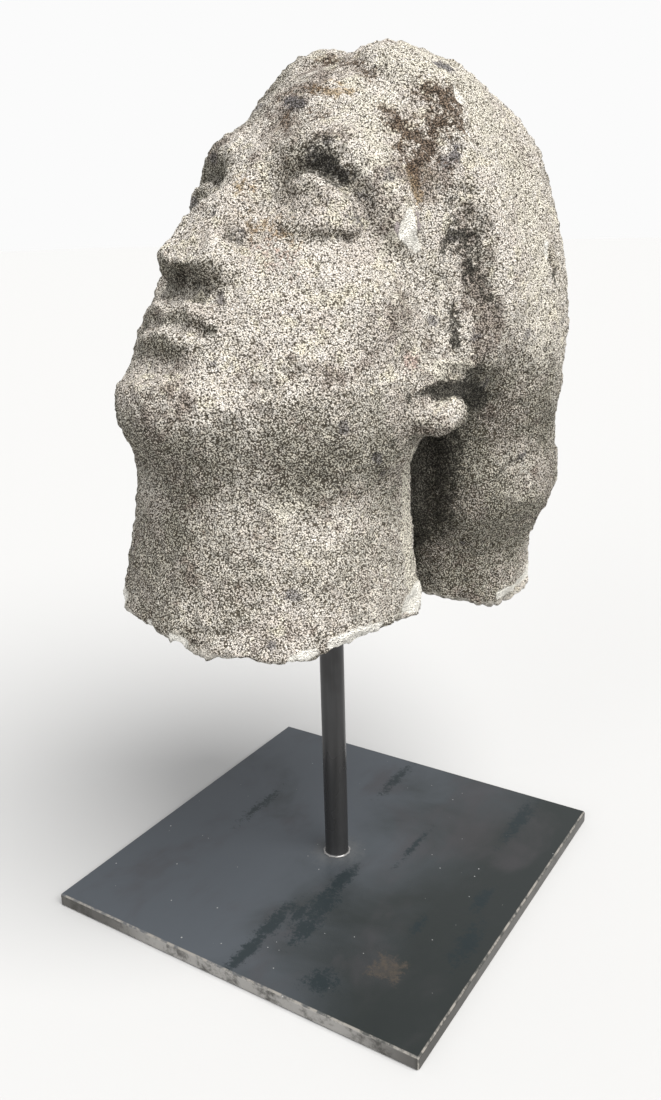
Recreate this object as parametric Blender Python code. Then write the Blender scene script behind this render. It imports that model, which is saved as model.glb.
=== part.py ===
"""A weathered classical stone head, thrown back, on a steel rod over a square steel plate.

+Z is up, the face looks towards -Y, and the origin is the middle of the plate's underside.
The head is modelled like clay: balls are massed into a rough block, its skin is made even, and
each point of it is pressed in or drawn out to where the carved forms say the surface is.
"""

import math
from dataclasses import dataclass

import bmesh
import bpy
import numpy as np
from mathutils import Matrix, Vector

# Stand
PLATE_SIDE = 0.300
PLATE_THICKNESS = 0.010
PLATE_CHAMFER = 0.0012
ROD_DIAMETER = 0.018
ROD_SHOWN = 0.228
ROD_IN_STONE = 0.090
ROD_CHAMFER = 0.001
ROD_SIDES = 32
WELD_LEG = 0.0025
WELD_STEPS = 4
FIT_GAP = 0.0003

# Stone, from chin to crown without the neck
HEAD_HEIGHT = 0.320
HEAD_TURN = math.radians(-12.0)
HEAD_THROWN_BACK = math.radians(37.0)

# The stone's own forms are in hundredths of the head's height: x left, y back, z up.
# The bust's frame is upright and the head's tips back with the face. Both begin between the ears.
HUNDREDTH = HEAD_HEIGHT / 100
ROD_SPOT = (-1.7, -9.95)
EARS_OVER_BREAK = 57.5
BREAK_SLOPE = (-0.131, -0.066)
HAIR_HANGS_LOWER = 1.6
HAIR_BEGINS_BY = 12.0
BREAK_ROUNDING = 1.25
MIDLINE_SOFTNESS = 1.2
HAIR_BLEND = 2.0

# Wear and grain, in the same measure
WEAR_DEPTH = 0.25
WEAR_SIZES = (10.6, 4.7)
BREAK_ROUGHNESS = 0.78
BREAK_SIZES = (9.4, 4.1)
FINER_SHARES = (1.0, 0.5)
GRAINS = (2.6, 1.7, 1.25, 1.25)
PRESSES = (6, 4, 3, 3)
STONE_TRIANGLES = 8800

# Places
EAR_HEIGHT = PLATE_THICKNESS + ROD_SHOWN + EARS_OVER_BREAK * HUNDREDTH
EARS_FROM_ROD = Matrix.Translation((-ROD_SPOT[0] * HUNDREDTH, -ROD_SPOT[1] * HUNDREDTH, EAR_HEIGHT))
BUST_PLACE = Matrix.Rotation(HEAD_TURN, 4, "Z") @ EARS_FROM_ROD
HEAD_TILT = Matrix.Rotation(-HEAD_THROWN_BACK, 4, "X")


@dataclass(frozen=True)
class Egg:
    """An ellipsoid. The turn is about Z, in degrees."""

    centre: tuple
    radii: tuple
    blend: float
    turn: float = 0.0
    carved: bool = False

    def ball(self):
        """The middle and radius of a ball around the egg."""
        return np.array(self.centre), max(self.radii)

    def lumps(self):
        """The balls that mass it in the rough block: centre and radii."""
        return [(self.centre, self.radii)]

    def distance(self, points):
        """How far each point lies outside the egg, nearly."""
        turn = np.array(Matrix.Rotation(math.radians(self.turn), 3, "Z"))
        local = (points - np.array(self.centre)) @ turn
        near = np.linalg.norm(local / np.array(self.radii), axis=1)
        steep = np.linalg.norm(local / np.square(self.radii), axis=1)
        return near * (near - 1) / np.maximum(steep, 1e-9)


@dataclass(frozen=True)
class Bar:
    """A round bar through a line of points, each with its own radius."""

    points: tuple
    radii: tuple
    blend: float
    carved: bool = False

    def ball(self):
        """The middle and radius of a ball around the bar."""
        line = np.array(self.points)
        middle = (line.min(axis=0) + line.max(axis=0)) / 2
        return middle, np.linalg.norm(line - middle, axis=1).max() + max(self.radii)

    def lumps(self):
        """The balls that mass it in the rough block: centre and radii."""
        return [(point, (radius,) * 3) for point, radius in zip(self.points, self.radii)]

    def distance(self, points):
        """How far each point lies outside the bar."""
        found = np.full(len(points), np.inf)
        ends = zip(self.points, self.points[1:], self.radii, self.radii[1:])
        for start, end, thick, thin in ends:
            along = np.array(end) - np.array(start)
            share = np.clip((points - np.array(start)) @ along / (along @ along), 0, 1)
            nearest = np.array(start) + share[:, None] * along
            gap = np.linalg.norm(points - nearest, axis=1)
            found = np.minimum(found, gap - thick - share * (thin - thick))
        return found


@dataclass(frozen=True)
class Column:
    """An upright oval column. Each pair is a value at the foot and at the top."""

    heights: tuple
    middles: tuple
    widths: tuple
    depths: tuple
    blend: float
    carved: bool = False

    def ball(self):
        """The middle and radius of a ball around the column."""
        foot, top = self.heights
        return np.array((0, self.middles[0], (foot + top) / 2)), top - foot

    def section(self, height):
        """The column's middle and half-widths at each height."""
        foot, top = self.heights
        share = np.clip((height - foot) / (top - foot), 0, 1)
        share = share * share * (3 - 2 * share)
        pairs = (self.middles, self.widths, self.depths)
        return [low + share * (high - low) for low, high in pairs]

    def lumps(self, apart=4):
        """The balls that mass it in the rough block: centre and radii."""
        found = []
        for height in np.arange(*self.heights, apart):
            middle, wide, deep = self.section(height)
            found.append(((0, middle, height), (wide, deep, 2 * apart)))
        return found

    def distance(self, points):
        """How far each point lies outside the column, nearly."""
        middle, wide, deep = self.section(points[:, 2])
        x, y = points[:, 0], points[:, 1] - middle
        near = np.hypot(x / wide, y / deep)
        steep = np.hypot(x / wide**2, y / deep**2)
        side = near * (near - 1) / np.maximum(steep, 1e-9)
        end = np.maximum(self.heights[0] - points[:, 2], points[:, 2] - self.heights[1])
        return np.maximum(side, end)


def flowing(points, radii, blend, carved=False, steps=4):
    """A bar whose line and thickness run smoothly through every point."""
    knots = np.column_stack((np.array(points, float), radii))
    knots = np.vstack((2 * knots[0] - knots[1], knots, 2 * knots[-1] - knots[-2]))
    line = []
    for before, start, end, after in zip(knots, knots[1:], knots[2:], knots[3:]):
        for share in np.arange(steps) / steps:
            line.append(
                start
                + (end - before) * share / 2
                + (before - 2.5 * start + 2 * end - after / 2) * share**2
                + (1.5 * (start - end) + (after - before) / 2) * share**3
            )
    line = np.array(line + [knots[-2]])
    return Bar(tuple(map(tuple, line[:, :3])), tuple(line[:, 3]), blend, carved)


# Forms off the midline come in pairs. The head's own frame
SKULL_AND_JAW = (
    Egg((0, 2.5, 10), (30.5, 36.5, 37), blend=6),
    Egg((0, -13, 17), (27, 26.5, 25.5), blend=9),
    Egg((0, -13.5, -14), (25, 26, 32), blend=9),
    Egg((16.5, -20.5, -13), (11, 12, 8), blend=8),
    Egg((14.5, -18.5, -28), (12, 13.5, 12), blend=10),
    Egg((0, -25.5, -28.5), (13.5, 14.5, 12), blend=8),
    flowing(
        ((6, -29.5, -41), (14.5, -18, -37), (21, -6, -28.5), (25, 0, -10)),
        (5.5, 5.5, 6, 6),
        blend=11,
    ),
    Egg((0, -32.5, -42), (8.5, 8, 7.8), blend=6),
)
BROWS = (
    flowing(
        ((2.5, -37.2, 6.6), (8, -37.6, 9.4), (15, -35.3, 10.4), (21.5, -30.2, 8), (25, -24.5, 3)),
        (2.6, 2.8, 2.8, 2.4, 1.8),
        blend=7,
    ),
    Egg((13.4, -43.2, -0.6), (8.8, 7.6, 5.2), blend=5, carved=True),
)
INNER_CORNER = (5.8, -34.6, -1.8)
OUTER_CORNER = (20.6, -31, -1.8)
EYES = (
    Egg((12.8, -30.9, -0.8), (7, 6.1, 5.6), blend=1.6),
    flowing(
        (INNER_CORNER, (8.8, -36.2, 1.2), (13, -36.9, 2.7), (17.4, -35, 1.3), OUTER_CORNER),
        (0.7, 1.2, 1.5, 1.3, 0.7),
        blend=2.4,
    ),
    flowing(
        (INNER_CORNER, (9, -35.5, -4.2), (13.2, -35.7, -5.3), (17.2, -34, -4.2), OUTER_CORNER),
        (0.7, 1, 1.2, 1, 0.7),
        blend=2.4,
    ),
)
NOSE = (
    flowing(
        ((0, -37.2, 7), (0, -39.6, -2), (0, -42.6, -9), (0, -44.6, -15.2)),
        (2.6, 2.8, 3.6, 4.6),
        blend=5,
    ),
    Egg((4.9, -40.2, -16.6), (3.2, 4.8, 3.4), blend=3),
)
MOUTH = (
    flowing(
        ((0, -40.4, -26.8), (3.4, -40.6, -26.2), (7.4, -38.4, -27.5), (10.2, -35.4, -29.2)),
        (2, 2, 1.6, 0.8),
        blend=1.8,
    ),
    flowing(((0, -39.9, -32.2), (4.6, -39, -31.9), (9.2, -35.7, -29.8)), (2.4, 2.1, 0.9), blend=2.2),
    flowing(
        ((0, -43.4, -29.2), (3.6, -42.7, -28.9), (7.6, -39.8, -29.4), (11.6, -35.8, -29.6)),
        (1, 0.9, 0.8, 0.6),
        blend=1.2,
        carved=True,
    ),
    Egg((0, -43.2, -22.6), (1.5, 2, 3), blend=2, carved=True),
    Egg((0, -43.4, -37), (8.5, 4, 2.6), blend=4, carved=True),
)
HAIR_ON_HEAD = (
    Egg((0, 0.5, 13), (33.3, 34, 39.5), blend=3),
    Egg((11, -17, 31), (14.5, 13, 12.8), blend=5),
    flowing(
        (
            (1.5, -26.5, 36),
            (9, -28, 33.2),
            (18, -23.5, 27),
            (25.2, -12.5, 17),
            (28.4, -3.5, 6),
            (29.4, 1.5, -6),
        ),
        (5.2, 6.4, 6.8, 7, 6.8, 5.6),
        blend=5,
    ),
)
PARTING_AND_HAIRLINE = (
    flowing(
        ((0, -35, 41), (0, -22, 49), (0, -4, 53), (0, 16, 53)),
        (2.2, 1.8, 1.5, 1),
        blend=3,
        carved=True,
    ),
    flowing(
        ((23, -31, 24), (29.5, -22.5, 14), (33.3, -14.5, 5), (34.6, -8.5, -3), (34.8, -4.5, -10)),
        (2, 3.2, 3.6, 3.2, 2),
        blend=4,
        carved=True,
    ),
    Egg((0, -50, 2), (25, 27.5, 37), blend=3, carved=True),
)
EARS = (
    flowing(
        ((32.2, -4.4, -19.5), (33.6, -1.3, -16.9), (34.6, 2.1, -14.3)),
        (1.3, 1.8, 1.9),
        blend=1.5,
        carved=True,
    ),
    flowing(
        ((27.5, -5.2, -25.6), (30.6, -2.2, -23.2), (31.6, 1.2, -20)),
        (2.6, 3.3, 3.2),
        blend=1.5,
    ),
)

# The bust's frame
NECK = (
    Column((-90, -14), (-31, -25.5), (31.5, 24.5), (35, 26.5), blend=8),
)
HAIR_BEHIND_NECK = (
    Egg((0, 14, 1), (34.3, 28.5, 27), blend=8),
    Egg((0, 18, -14), (33.5, 25.5, 34), blend=8),
    Egg((0, 19.5, -36), (32.3, 25.8, 20), blend=6),
    Column((-90, -30), (20, 20), (26.5, 26), (20, 20), blend=5),
)
FURROWS_BY_NECK = (
    Egg((17.5, 2.5, -34.5), (15, 4.4, 22.5), blend=3, turn=135, carved=True),
    flowing(
        ((35, -6, -12), (34, -3.5, -20), (31, -2.5, -30)),
        (2.4, 3.2, 3),
        blend=3,
        carved=True,
    ),
)

# Breaks, each on the side where it fell
NOSE_BREAK = (
    Egg((3, -84.6, -12.5), (40, 40, 40), blend=0.8, carved=True),
)
NECK_BREAKS = (
    Egg((36, -29, -61), (18, 20, 5), blend=2.5, carved=True),
    Egg((33, -13, -59), (10, 9, 7), blend=2, carved=True),
)


def join(stone, shape, blend):
    """The stone with a shape added, the corner between them filled over the blend's width."""
    overlap = np.maximum(blend - np.abs(stone - shape), 0) / blend
    return np.minimum(stone, shape) - overlap**2 * blend / 4


def carve(stone, shape, blend):
    """The stone with a shape cut away, its edge rounded over the blend's width."""
    return -join(-stone, shape, blend)


def work(stone, shapes, points):
    """The stone after each shape in turn is added or carved away, as far as it reaches."""
    stone = stone.copy()
    for shape in shapes:
        middle, radius = shape.ball()
        reach = radius + 2 * shape.blend + max(GRAINS)
        near = ((points - middle) ** 2).sum(axis=1) < reach**2
        step = carve if shape.carved else join
        stone[near] = step(stone[near], shape.distance(points[near]), shape.blend)
    return stone


def ripples(points, size, seed):
    """Smooth random hills and hollows between -1 and 1, about one to each length of the size."""
    cells = np.floor(points / size).astype(np.int64)
    share = points / size - cells
    share = share * share * (3 - 2 * share)
    found = np.zeros(len(points))
    for corner in np.ndindex(2, 2, 2):
        mixed = (cells + corner) @ np.array((73856093, 19349663, 83492791)) + seed * 40503
        mixed ^= mixed >> 13
        mixed *= 1274126177
        mixed ^= mixed >> 16
        height = (mixed & 65535) / 32767.5 - 1
        found += height * np.where(corner, share, 1 - share).prod(axis=1)
    return found


def rough(points, depth, sizes, seed):
    """Ripples of several sizes laid over one another."""
    layers = zip(sizes, FINER_SHARES)
    return depth * sum(share * ripples(points, size, seed) for size, share in layers)


def folded(points):
    """Points with the right side laid on the left, so that one carving serves for both."""
    across = np.sqrt(points[:, 0] ** 2 + MIDLINE_SOFTNESS**2) - MIDLINE_SOFTNESS
    return np.column_stack((across, points[:, 1:]))


def stone_distance(points):
    """How far each point of the bust's frame lies outside the stone."""
    tipped = points @ np.array(HEAD_TILT)[:3, :3]
    head, bust = folded(tipped), folded(points)
    stone = work(np.full(len(points), 1e3), SKULL_AND_JAW, head)
    stone = work(stone, NECK, bust)
    stone = work(stone, BROWS + EYES + NOSE + MOUTH, head)
    hair = work(np.full(len(points), 1e3), HAIR_ON_HEAD, head)
    hair = work(hair, HAIR_BEHIND_NECK, bust)
    hair = work(hair, PARTING_AND_HAIRLINE, head)
    stone = join(stone, hair, HAIR_BLEND)
    stone = work(stone, FURROWS_BY_NECK, bust)
    stone = work(stone, EARS, head)
    stone = work(stone, NOSE_BREAK, tipped)
    stone = work(stone, NECK_BREAKS, points)
    stone += rough(points, WEAR_DEPTH, WEAR_SIZES, 1)
    broken = (points[:, :2] - np.array(ROD_SPOT)) @ np.array(BREAK_SLOPE)
    broken -= EARS_OVER_BREAK + points[:, 2]
    broken -= HAIR_HANGS_LOWER * np.clip(points[:, 1] / HAIR_BEGINS_BY, 0, 1)
    broken += rough(points, BREAK_ROUGHNESS, BREAK_SIZES, 3)
    return -join(-stone, -broken, BREAK_ROUNDING)


def new_object(name, shaping):
    """A named object in the scene from a finished bmesh."""
    mesh = bpy.data.meshes.new(name)
    shaping.to_mesh(mesh)
    shaping.free()
    made = bpy.data.objects.new(name, mesh)
    bpy.context.scene.collection.objects.link(made)
    return made


def finish(obj, colour, roughness, metallic):
    """Gives the object a material of its own."""
    material = bpy.data.materials.new(obj.name)
    material.use_nodes = True
    shader = material.node_tree.nodes["Principled BSDF"]
    shader.inputs["Base Color"].default_value = (*colour, 1)
    shader.inputs["Roughness"].default_value = roughness
    shader.inputs["Metallic"].default_value = metallic
    obj.data.materials.append(material)


def rough_block():
    """Balls massed where the added forms are, on both sides of the head."""
    block = bmesh.new()
    on_head = SKULL_AND_JAW + BROWS[:1] + EYES[:1] + NOSE + HAIR_ON_HEAD + EARS[1:]
    for tilt, shapes in ((HEAD_TILT, on_head), (Matrix(), NECK + HAIR_BEHIND_NECK)):
        for centre, radii in [lump for shape in shapes for lump in shape.lumps()]:
            ball = Matrix.Translation(centre) @ Matrix.Diagonal((*radii, 1))
            for side in (1, -1):
                place = tilt @ Matrix.Diagonal((side, 1, 1, 1)) @ ball
                bmesh.ops.create_icosphere(block, subdivisions=3, radius=1, matrix=place)
    return new_object("stone_head", block)


def regrained(obj, grain):
    """Gives the object one even skin of small faces."""
    remesh = obj.modifiers.new("grain", "REMESH")
    remesh.mode = "VOXEL"
    remesh.voxel_size = grain
    graph = bpy.context.evaluated_depsgraph_get()
    mesh = bpy.data.meshes.new_from_object(obj.evaluated_get(graph))
    obj.modifiers.clear()
    obj.data = mesh


def broken_off(obj):
    """Cuts away what lies below the break and closes the cut."""
    shaping = bmesh.new()
    shaping.from_mesh(obj.data)
    over_break = Vector((*ROD_SPOT, -EARS_OVER_BREAK))
    down = Vector((*BREAK_SLOPE, -1))
    geometry = shaping.verts[:] + shaping.edges[:] + shaping.faces[:]
    bmesh.ops.bisect_plane(
        shaping, geom=geometry, plane_co=over_break, plane_no=down, clear_outer=True
    )
    bmesh.ops.holes_fill(shaping, edges=shaping.edges)
    bmesh.ops.triangulate(shaping, faces=shaping.faces)
    shaping.to_mesh(obj.data)
    shaping.free()


def pressed(obj, grain, rounds):
    """Evens out the object's skin and moves each point of it onto the carved surface."""
    mesh = obj.data
    points = np.empty(len(mesh.vertices) * 3, np.float32)
    mesh.vertices.foreach_get("co", points)
    points = points.reshape(-1, 3).astype(float)
    edges = np.empty(len(mesh.edges) * 2, np.int32)
    mesh.edges.foreach_get("vertices", edges)
    one, other = edges.reshape(-1, 2).T
    count = np.bincount(edges, minlength=len(points))[:, None]
    step = grain / 12
    feelers = np.array(((1, 1, 1), (1, -1, -1), (-1, 1, -1), (-1, -1, 1))) * step
    for _ in range(rounds):
        total = np.zeros_like(points)
        for axis in range(3):
            total[:, axis] += np.bincount(one, points[other, axis], len(points))
            total[:, axis] += np.bincount(other, points[one, axis], len(points))
        points += (total / count - points) / 2
        felt = [stone_distance(points + feeler) for feeler in feelers]
        out = sum(f[:, None] * feeler for f, feeler in zip(felt, feelers)) / (2 * step) ** 2
        move = -sum(felt) / 4 / np.maximum((out**2).sum(axis=1), 0.3)
        points += out * np.clip(move, -grain, grain)[:, None]
    mesh.vertices.foreach_set("co", points.astype(np.float32).ravel())
    mesh.update()


def turned(name, profile):
    """A solid turned about Z from a list of radii and heights that begins and ends on the axis."""
    lathe = bmesh.new()
    line = [lathe.verts.new((radius, 0, height)) for radius, height in profile]
    edges = [lathe.edges.new(pair) for pair in zip(line, line[1:])]
    bmesh.ops.spin(
        lathe,
        geom=line + edges,
        cent=(0, 0, 0),
        axis=(0, 0, 1),
        angle=math.tau,
        steps=ROD_SIDES,
        use_merge=True,
    )
    bmesh.ops.remove_doubles(lathe, verts=lathe.verts, dist=FIT_GAP / 10)
    bmesh.ops.recalc_face_normals(lathe, faces=lathe.faces)
    return new_object(name, lathe)


def drill():
    """The cutter for the blind hole that the rod stands in, which begins below the break."""
    radius = ROD_DIAMETER / 2 + FIT_GAP
    start = PLATE_THICKNESS + ROD_SHOWN / 2
    end = PLATE_THICKNESS + ROD_SHOWN + ROD_IN_STONE + FIT_GAP
    cutter = turned("drill", [(0, start), (radius, start), (radius, end), (0, end)])
    cutter.hide_render = True
    cutter.display_type = "WIRE"
    return cutter


def stone_head():
    """The stone head as one closed skin, bored for the rod."""
    stone = rough_block()
    regrained(stone, max(GRAINS))
    broken_off(stone)
    for grain, rounds in zip(GRAINS, PRESSES):
        regrained(stone, grain)
        pressed(stone, grain, rounds)
    stone.data.transform(Matrix.Scale(HUNDREDTH, 4))
    stone.data.shade_smooth()
    stone.matrix_world = BUST_PLACE
    triangles = sum(len(face.vertices) - 2 for face in stone.data.polygons)
    fewer = stone.modifiers.new("fewer_faces", "DECIMATE")
    fewer.ratio = STONE_TRIANGLES / triangles
    bore = stone.modifiers.new("bore", "BOOLEAN")
    bore.operation = "DIFFERENCE"
    bore.solver = "EXACT"
    bore.object = drill()
    finish(stone, colour=(0.42, 0.39, 0.35), roughness=0.9, metallic=0.0)


def support_rod():
    """The steel rod with the weld around its foot."""
    radius = ROD_DIAMETER / 2
    foot = PLATE_THICKNESS + FIT_GAP
    top = PLATE_THICKNESS + ROD_SHOWN + ROD_IN_STONE
    profile = [(0, foot)]
    for step in range(WELD_STEPS + 1):
        angle = math.pi / 2 * step / WELD_STEPS
        out = WELD_LEG * (1 - math.sin(angle))
        rise = WELD_LEG * (1 - math.cos(angle))
        profile.append((radius + out, foot + rise))
    profile += [(radius, top - ROD_CHAMFER), (radius - ROD_CHAMFER, top), (0, top)]
    rod = turned("support_rod", profile)
    rod.data.shade_smooth()
    rod.data.set_sharp_from_angle(angle=math.radians(40))
    finish(rod, colour=(0.055, 0.052, 0.05), roughness=0.45, metallic=0.9)


def base_plate():
    """The square steel plate, its edges broken."""
    plate = bmesh.new()
    size = Matrix.Diagonal((PLATE_SIDE, PLATE_SIDE, PLATE_THICKNESS, 1))
    middle = Matrix.Translation((0, 0, PLATE_THICKNESS / 2))
    bmesh.ops.create_cube(plate, size=1, matrix=middle @ size)
    bmesh.ops.bevel(
        plate,
        geom=plate.edges[:],
        offset=PLATE_CHAMFER,
        offset_type="OFFSET",
        segments=1,
        affect="EDGES",
    )
    made = new_object("base_plate", plate)
    finish(made, colour=(0.05, 0.056, 0.062), roughness=0.5, metallic=0.85)


def main():
    for obj in list(bpy.data.objects):
        bpy.data.objects.remove(obj)
    base_plate()
    support_rod()
    stone_head()


main()
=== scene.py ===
"""The looks of a weathered stone head, thrown back, on its steel rod and square plate.

The stone is carved over its frame solid from the same forms, in a finer grain, with the locks,
chips, cracks and pits that the solid leaves out. Lengths are in metres, except where a comment
gives hundredths, which are hundredths of the head's height.
"""

from __future__ import annotations

import logging
import math
from dataclasses import dataclass
from enum import Enum, IntEnum
from typing import Sequence, Union

import bmesh
import bpy
import numpy as np
from mathutils import Matrix, Vector

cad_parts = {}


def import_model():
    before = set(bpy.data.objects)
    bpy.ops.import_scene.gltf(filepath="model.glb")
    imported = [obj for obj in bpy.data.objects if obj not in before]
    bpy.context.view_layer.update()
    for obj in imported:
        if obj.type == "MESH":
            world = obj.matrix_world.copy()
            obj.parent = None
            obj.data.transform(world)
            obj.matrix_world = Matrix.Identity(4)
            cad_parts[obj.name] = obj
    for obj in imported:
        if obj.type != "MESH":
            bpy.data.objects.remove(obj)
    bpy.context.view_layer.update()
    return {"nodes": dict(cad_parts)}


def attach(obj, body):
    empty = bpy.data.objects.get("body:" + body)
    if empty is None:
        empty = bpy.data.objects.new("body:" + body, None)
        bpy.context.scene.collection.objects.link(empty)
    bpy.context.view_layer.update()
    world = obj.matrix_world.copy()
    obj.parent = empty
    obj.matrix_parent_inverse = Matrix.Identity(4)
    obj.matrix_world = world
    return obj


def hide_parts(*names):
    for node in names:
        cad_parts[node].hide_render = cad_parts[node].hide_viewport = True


LOG = logging.getLogger("stone_head")
Colour = tuple[float, float, float]
Place = tuple[float, float, float]
Ramp = tuple[float, float, float, float]
Socket = bpy.types.NodeSocket
Signal = Union[float, Colour, Socket]

# Stand
PLATE_SIDE = 0.300
HALF_PLATE = PLATE_SIDE / 2
PLATE_THICKNESS = 0.010
ROD_DIAMETER = 0.018
ROD_SHOWN = 0.228
ROD_IN_STONE = 0.090
ROD_TOP = PLATE_THICKNESS + ROD_SHOWN + ROD_IN_STONE
FIT_GAP = 0.0003

# Stone
HEAD_HEIGHT = 0.320
HUNDREDTH = HEAD_HEIGHT / 100
HEAD_TURN = math.radians(-12.0)
HEAD_THROWN_BACK = math.radians(37.0)

# In hundredths: x left, y back, z up. Both frames begin between the ears. The bust's is upright
# and the head's tips back with the face.
ROD_SPOT = (-1.7, -9.95)
EARS_OVER_BREAK = 57.5
BREAK_SLOPE = (-0.131, -0.066)
HAIR_HANGS_LOWER = 1.6
HAIR_BEGINS_BY = 12.0
BREAK_ROUNDING = 0.45
MIDLINE_SOFTNESS = 1.2
HAIR_BLEND = 2.0
WEAR_DEPTH = 0.25
WEAR_SIZES = (10.6, 4.7)
BREAK_ROUGHNESS = 0.78
BREAK_SIZES = (9.4, 4.1)
CHIPPED_ROUGHNESS = 0.5
CHIPPED_SIZES = (2.6, 1.2)
FINER_SHARES = (1.0, 0.5)
REACH = 2.6
SPOT_LENGTH = 1e-3
MERGED = 1e-6
CELL_PRIMES = (73856093, 19349663, 83492791)
SEED_PRIME = 40503
MIXING_PRIME = 1274126177
HEIGHT_STEPS = 65535

EAR_HEIGHT = PLATE_THICKNESS + ROD_SHOWN + EARS_OVER_BREAK * HUNDREDTH
EARS_FROM_ROD = Matrix.Translation(
    (-ROD_SPOT[0] * HUNDREDTH, -ROD_SPOT[1] * HUNDREDTH, EAR_HEIGHT)
)
BUST_PLACE = Matrix.Rotation(HEAD_TURN, 4, "Z") @ EARS_FROM_ROD
HEAD_TILT = Matrix.Rotation(-HEAD_THROWN_BACK, 4, "X")


@dataclass(frozen=True)
class Egg:
    """An ellipsoid of clay, added or carved away. The turn is about Z, in degrees."""

    centre: Place
    radii: Place
    blend: float
    turn: float = 0.0
    carved: bool = False

    def ball(self) -> tuple[np.ndarray, float]:
        """The middle and radius of a ball around the egg."""
        return np.array(self.centre), max(self.radii)

    def distance(self, points: np.ndarray) -> np.ndarray:
        """Measures how far points lie outside the egg.

        Args:
            points: One point to a row.

        Returns:
            The distance of each, nearly, and below nought inside.
        """
        turn = np.array(Matrix.Rotation(math.radians(self.turn), 3, "Z"))
        local = (points - np.array(self.centre)) @ turn
        near = np.linalg.norm(local / np.array(self.radii), axis=1)
        steep = np.linalg.norm(local / np.square(self.radii), axis=1)
        return near * (near - 1) / np.maximum(steep, 1e-9)


@dataclass(frozen=True)
class Bar:
    """A round bar of clay through a line of points, each with its own radius."""

    points: tuple[Place, ...]
    radii: tuple[float, ...]
    blend: float
    carved: bool = False

    def ball(self) -> tuple[np.ndarray, float]:
        """Finds a ball around the bar.

        Returns:
            Its middle and its radius.
        """
        line = np.array(self.points)
        middle = (line.min(axis=0) + line.max(axis=0)) / 2
        return middle, np.linalg.norm(line - middle, axis=1).max() + max(self.radii)

    def distance(self, points: np.ndarray) -> np.ndarray:
        """Measures how far points lie outside the bar.

        Args:
            points: One point to a row.

        Returns:
            The distance of each, below nought inside.
        """
        found = np.full(len(points), np.inf)
        ends = zip(self.points, self.points[1:], self.radii, self.radii[1:])
        for start, end, thick, thin in ends:
            along = np.array(end) - np.array(start)
            share = np.clip((points - np.array(start)) @ along / (along @ along), 0, 1)
            nearest = np.array(start) + share[:, None] * along
            gap = np.linalg.norm(points - nearest, axis=1)
            found = np.minimum(found, gap - thick - share * (thin - thick))
        return found


@dataclass(frozen=True)
class Column:
    """An upright oval column of clay. Each pair is a value at the foot and at the top."""

    heights: tuple[float, float]
    middles: tuple[float, float]
    widths: tuple[float, float]
    depths: tuple[float, float]
    blend: float
    carved: bool = False

    def ball(self) -> tuple[np.ndarray, float]:
        """The middle and radius of a ball around the column."""
        foot, top = self.heights
        return np.array((0, self.middles[0], (foot + top) / 2)), top - foot

    def distance(self, points: np.ndarray) -> np.ndarray:
        """Measures how far points lie outside the column.

        Args:
            points: One point to a row.

        Returns:
            The distance of each, nearly, and below nought inside.
        """
        foot, top = self.heights
        share = np.clip((points[:, 2] - foot) / (top - foot), 0, 1)
        share = share * share * (3 - 2 * share)
        pairs = (self.middles, self.widths, self.depths)
        middle, wide, deep = [low + share * (high - low) for low, high in pairs]
        x, y = points[:, 0], points[:, 1] - middle
        near = np.hypot(x / wide, y / deep)
        steep = np.hypot(x / wide**2, y / deep**2)
        side = near * (near - 1) / np.maximum(steep, 1e-9)
        return np.maximum(side, np.maximum(foot - points[:, 2], points[:, 2] - top))


Form = Union[Egg, Bar, Column]


def flowing(
    points: Sequence[Place],
    radii: Sequence[float],
    blend: float,
    carved: bool = False,
    steps: int = 4,
) -> Bar:
    """Runs a bar smoothly through points.

    Args:
        points: The points that it passes.
        radii: Its radius at each of them.
        blend: How wide the corner that it makes with its neighbours is filled.
        carved: Whether it is cut away.
        steps: How many straight lengths there are between two points.

    Returns:
        The bar.
    """
    knots = np.column_stack((np.array(points, float), radii))
    knots = np.vstack((2 * knots[0] - knots[1], knots, 2 * knots[-1] - knots[-2]))
    line = []
    for before, start, end, after in zip(knots, knots[1:], knots[2:], knots[3:]):
        for share in np.arange(steps) / steps:
            line.append(
                start
                + (end - before) * share / 2
                + (before - 2.5 * start + 2 * end - after / 2) * share**2
                + (1.5 * (start - end) + (after - before) / 2) * share**3
            )
    line = np.array(line + [knots[-2]])
    return Bar(tuple(map(tuple, line[:, :3])), tuple(line[:, 3]), blend, carved)


# Forms off the midline come in pairs. The head's own frame
SKULL_AND_JAW = (
    Egg((0, 2.5, 10), (30.5, 36.5, 37), blend=6),
    Egg((0, -13, 17), (27, 26.5, 25.5), blend=9),
    Egg((0, -13.5, -14), (25, 26, 32), blend=9),
    Egg((16.5, -20.5, -13), (11, 12, 8), blend=8),
    Egg((14.5, -18.5, -28), (12, 13.5, 12), blend=10),
    Egg((0, -25.5, -28.5), (13.5, 14.5, 12), blend=8),
    flowing(
        ((6, -29.5, -41), (14.5, -18, -37), (21, -6, -28.5), (25, 0, -10)),
        (5.5, 5.5, 6, 6),
        blend=11,
    ),
    Egg((0, -32.5, -42), (8.5, 8, 7.8), blend=6),
)
BROWS = (
    flowing(
        ((2.5, -37.2, 6.6), (8, -37.6, 9.4), (15, -35.3, 10.4), (21.5, -30.2, 8), (25, -24.5, 3)),
        (2.6, 2.8, 2.8, 2.4, 1.8),
        blend=7,
    ),
    Egg((13.4, -43.2, -0.6), (8.8, 7.6, 5.2), blend=5, carved=True),
)
INNER_CORNER = (5.8, -34.6, -1.8)
OUTER_CORNER = (20.6, -31, -1.8)
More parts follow.
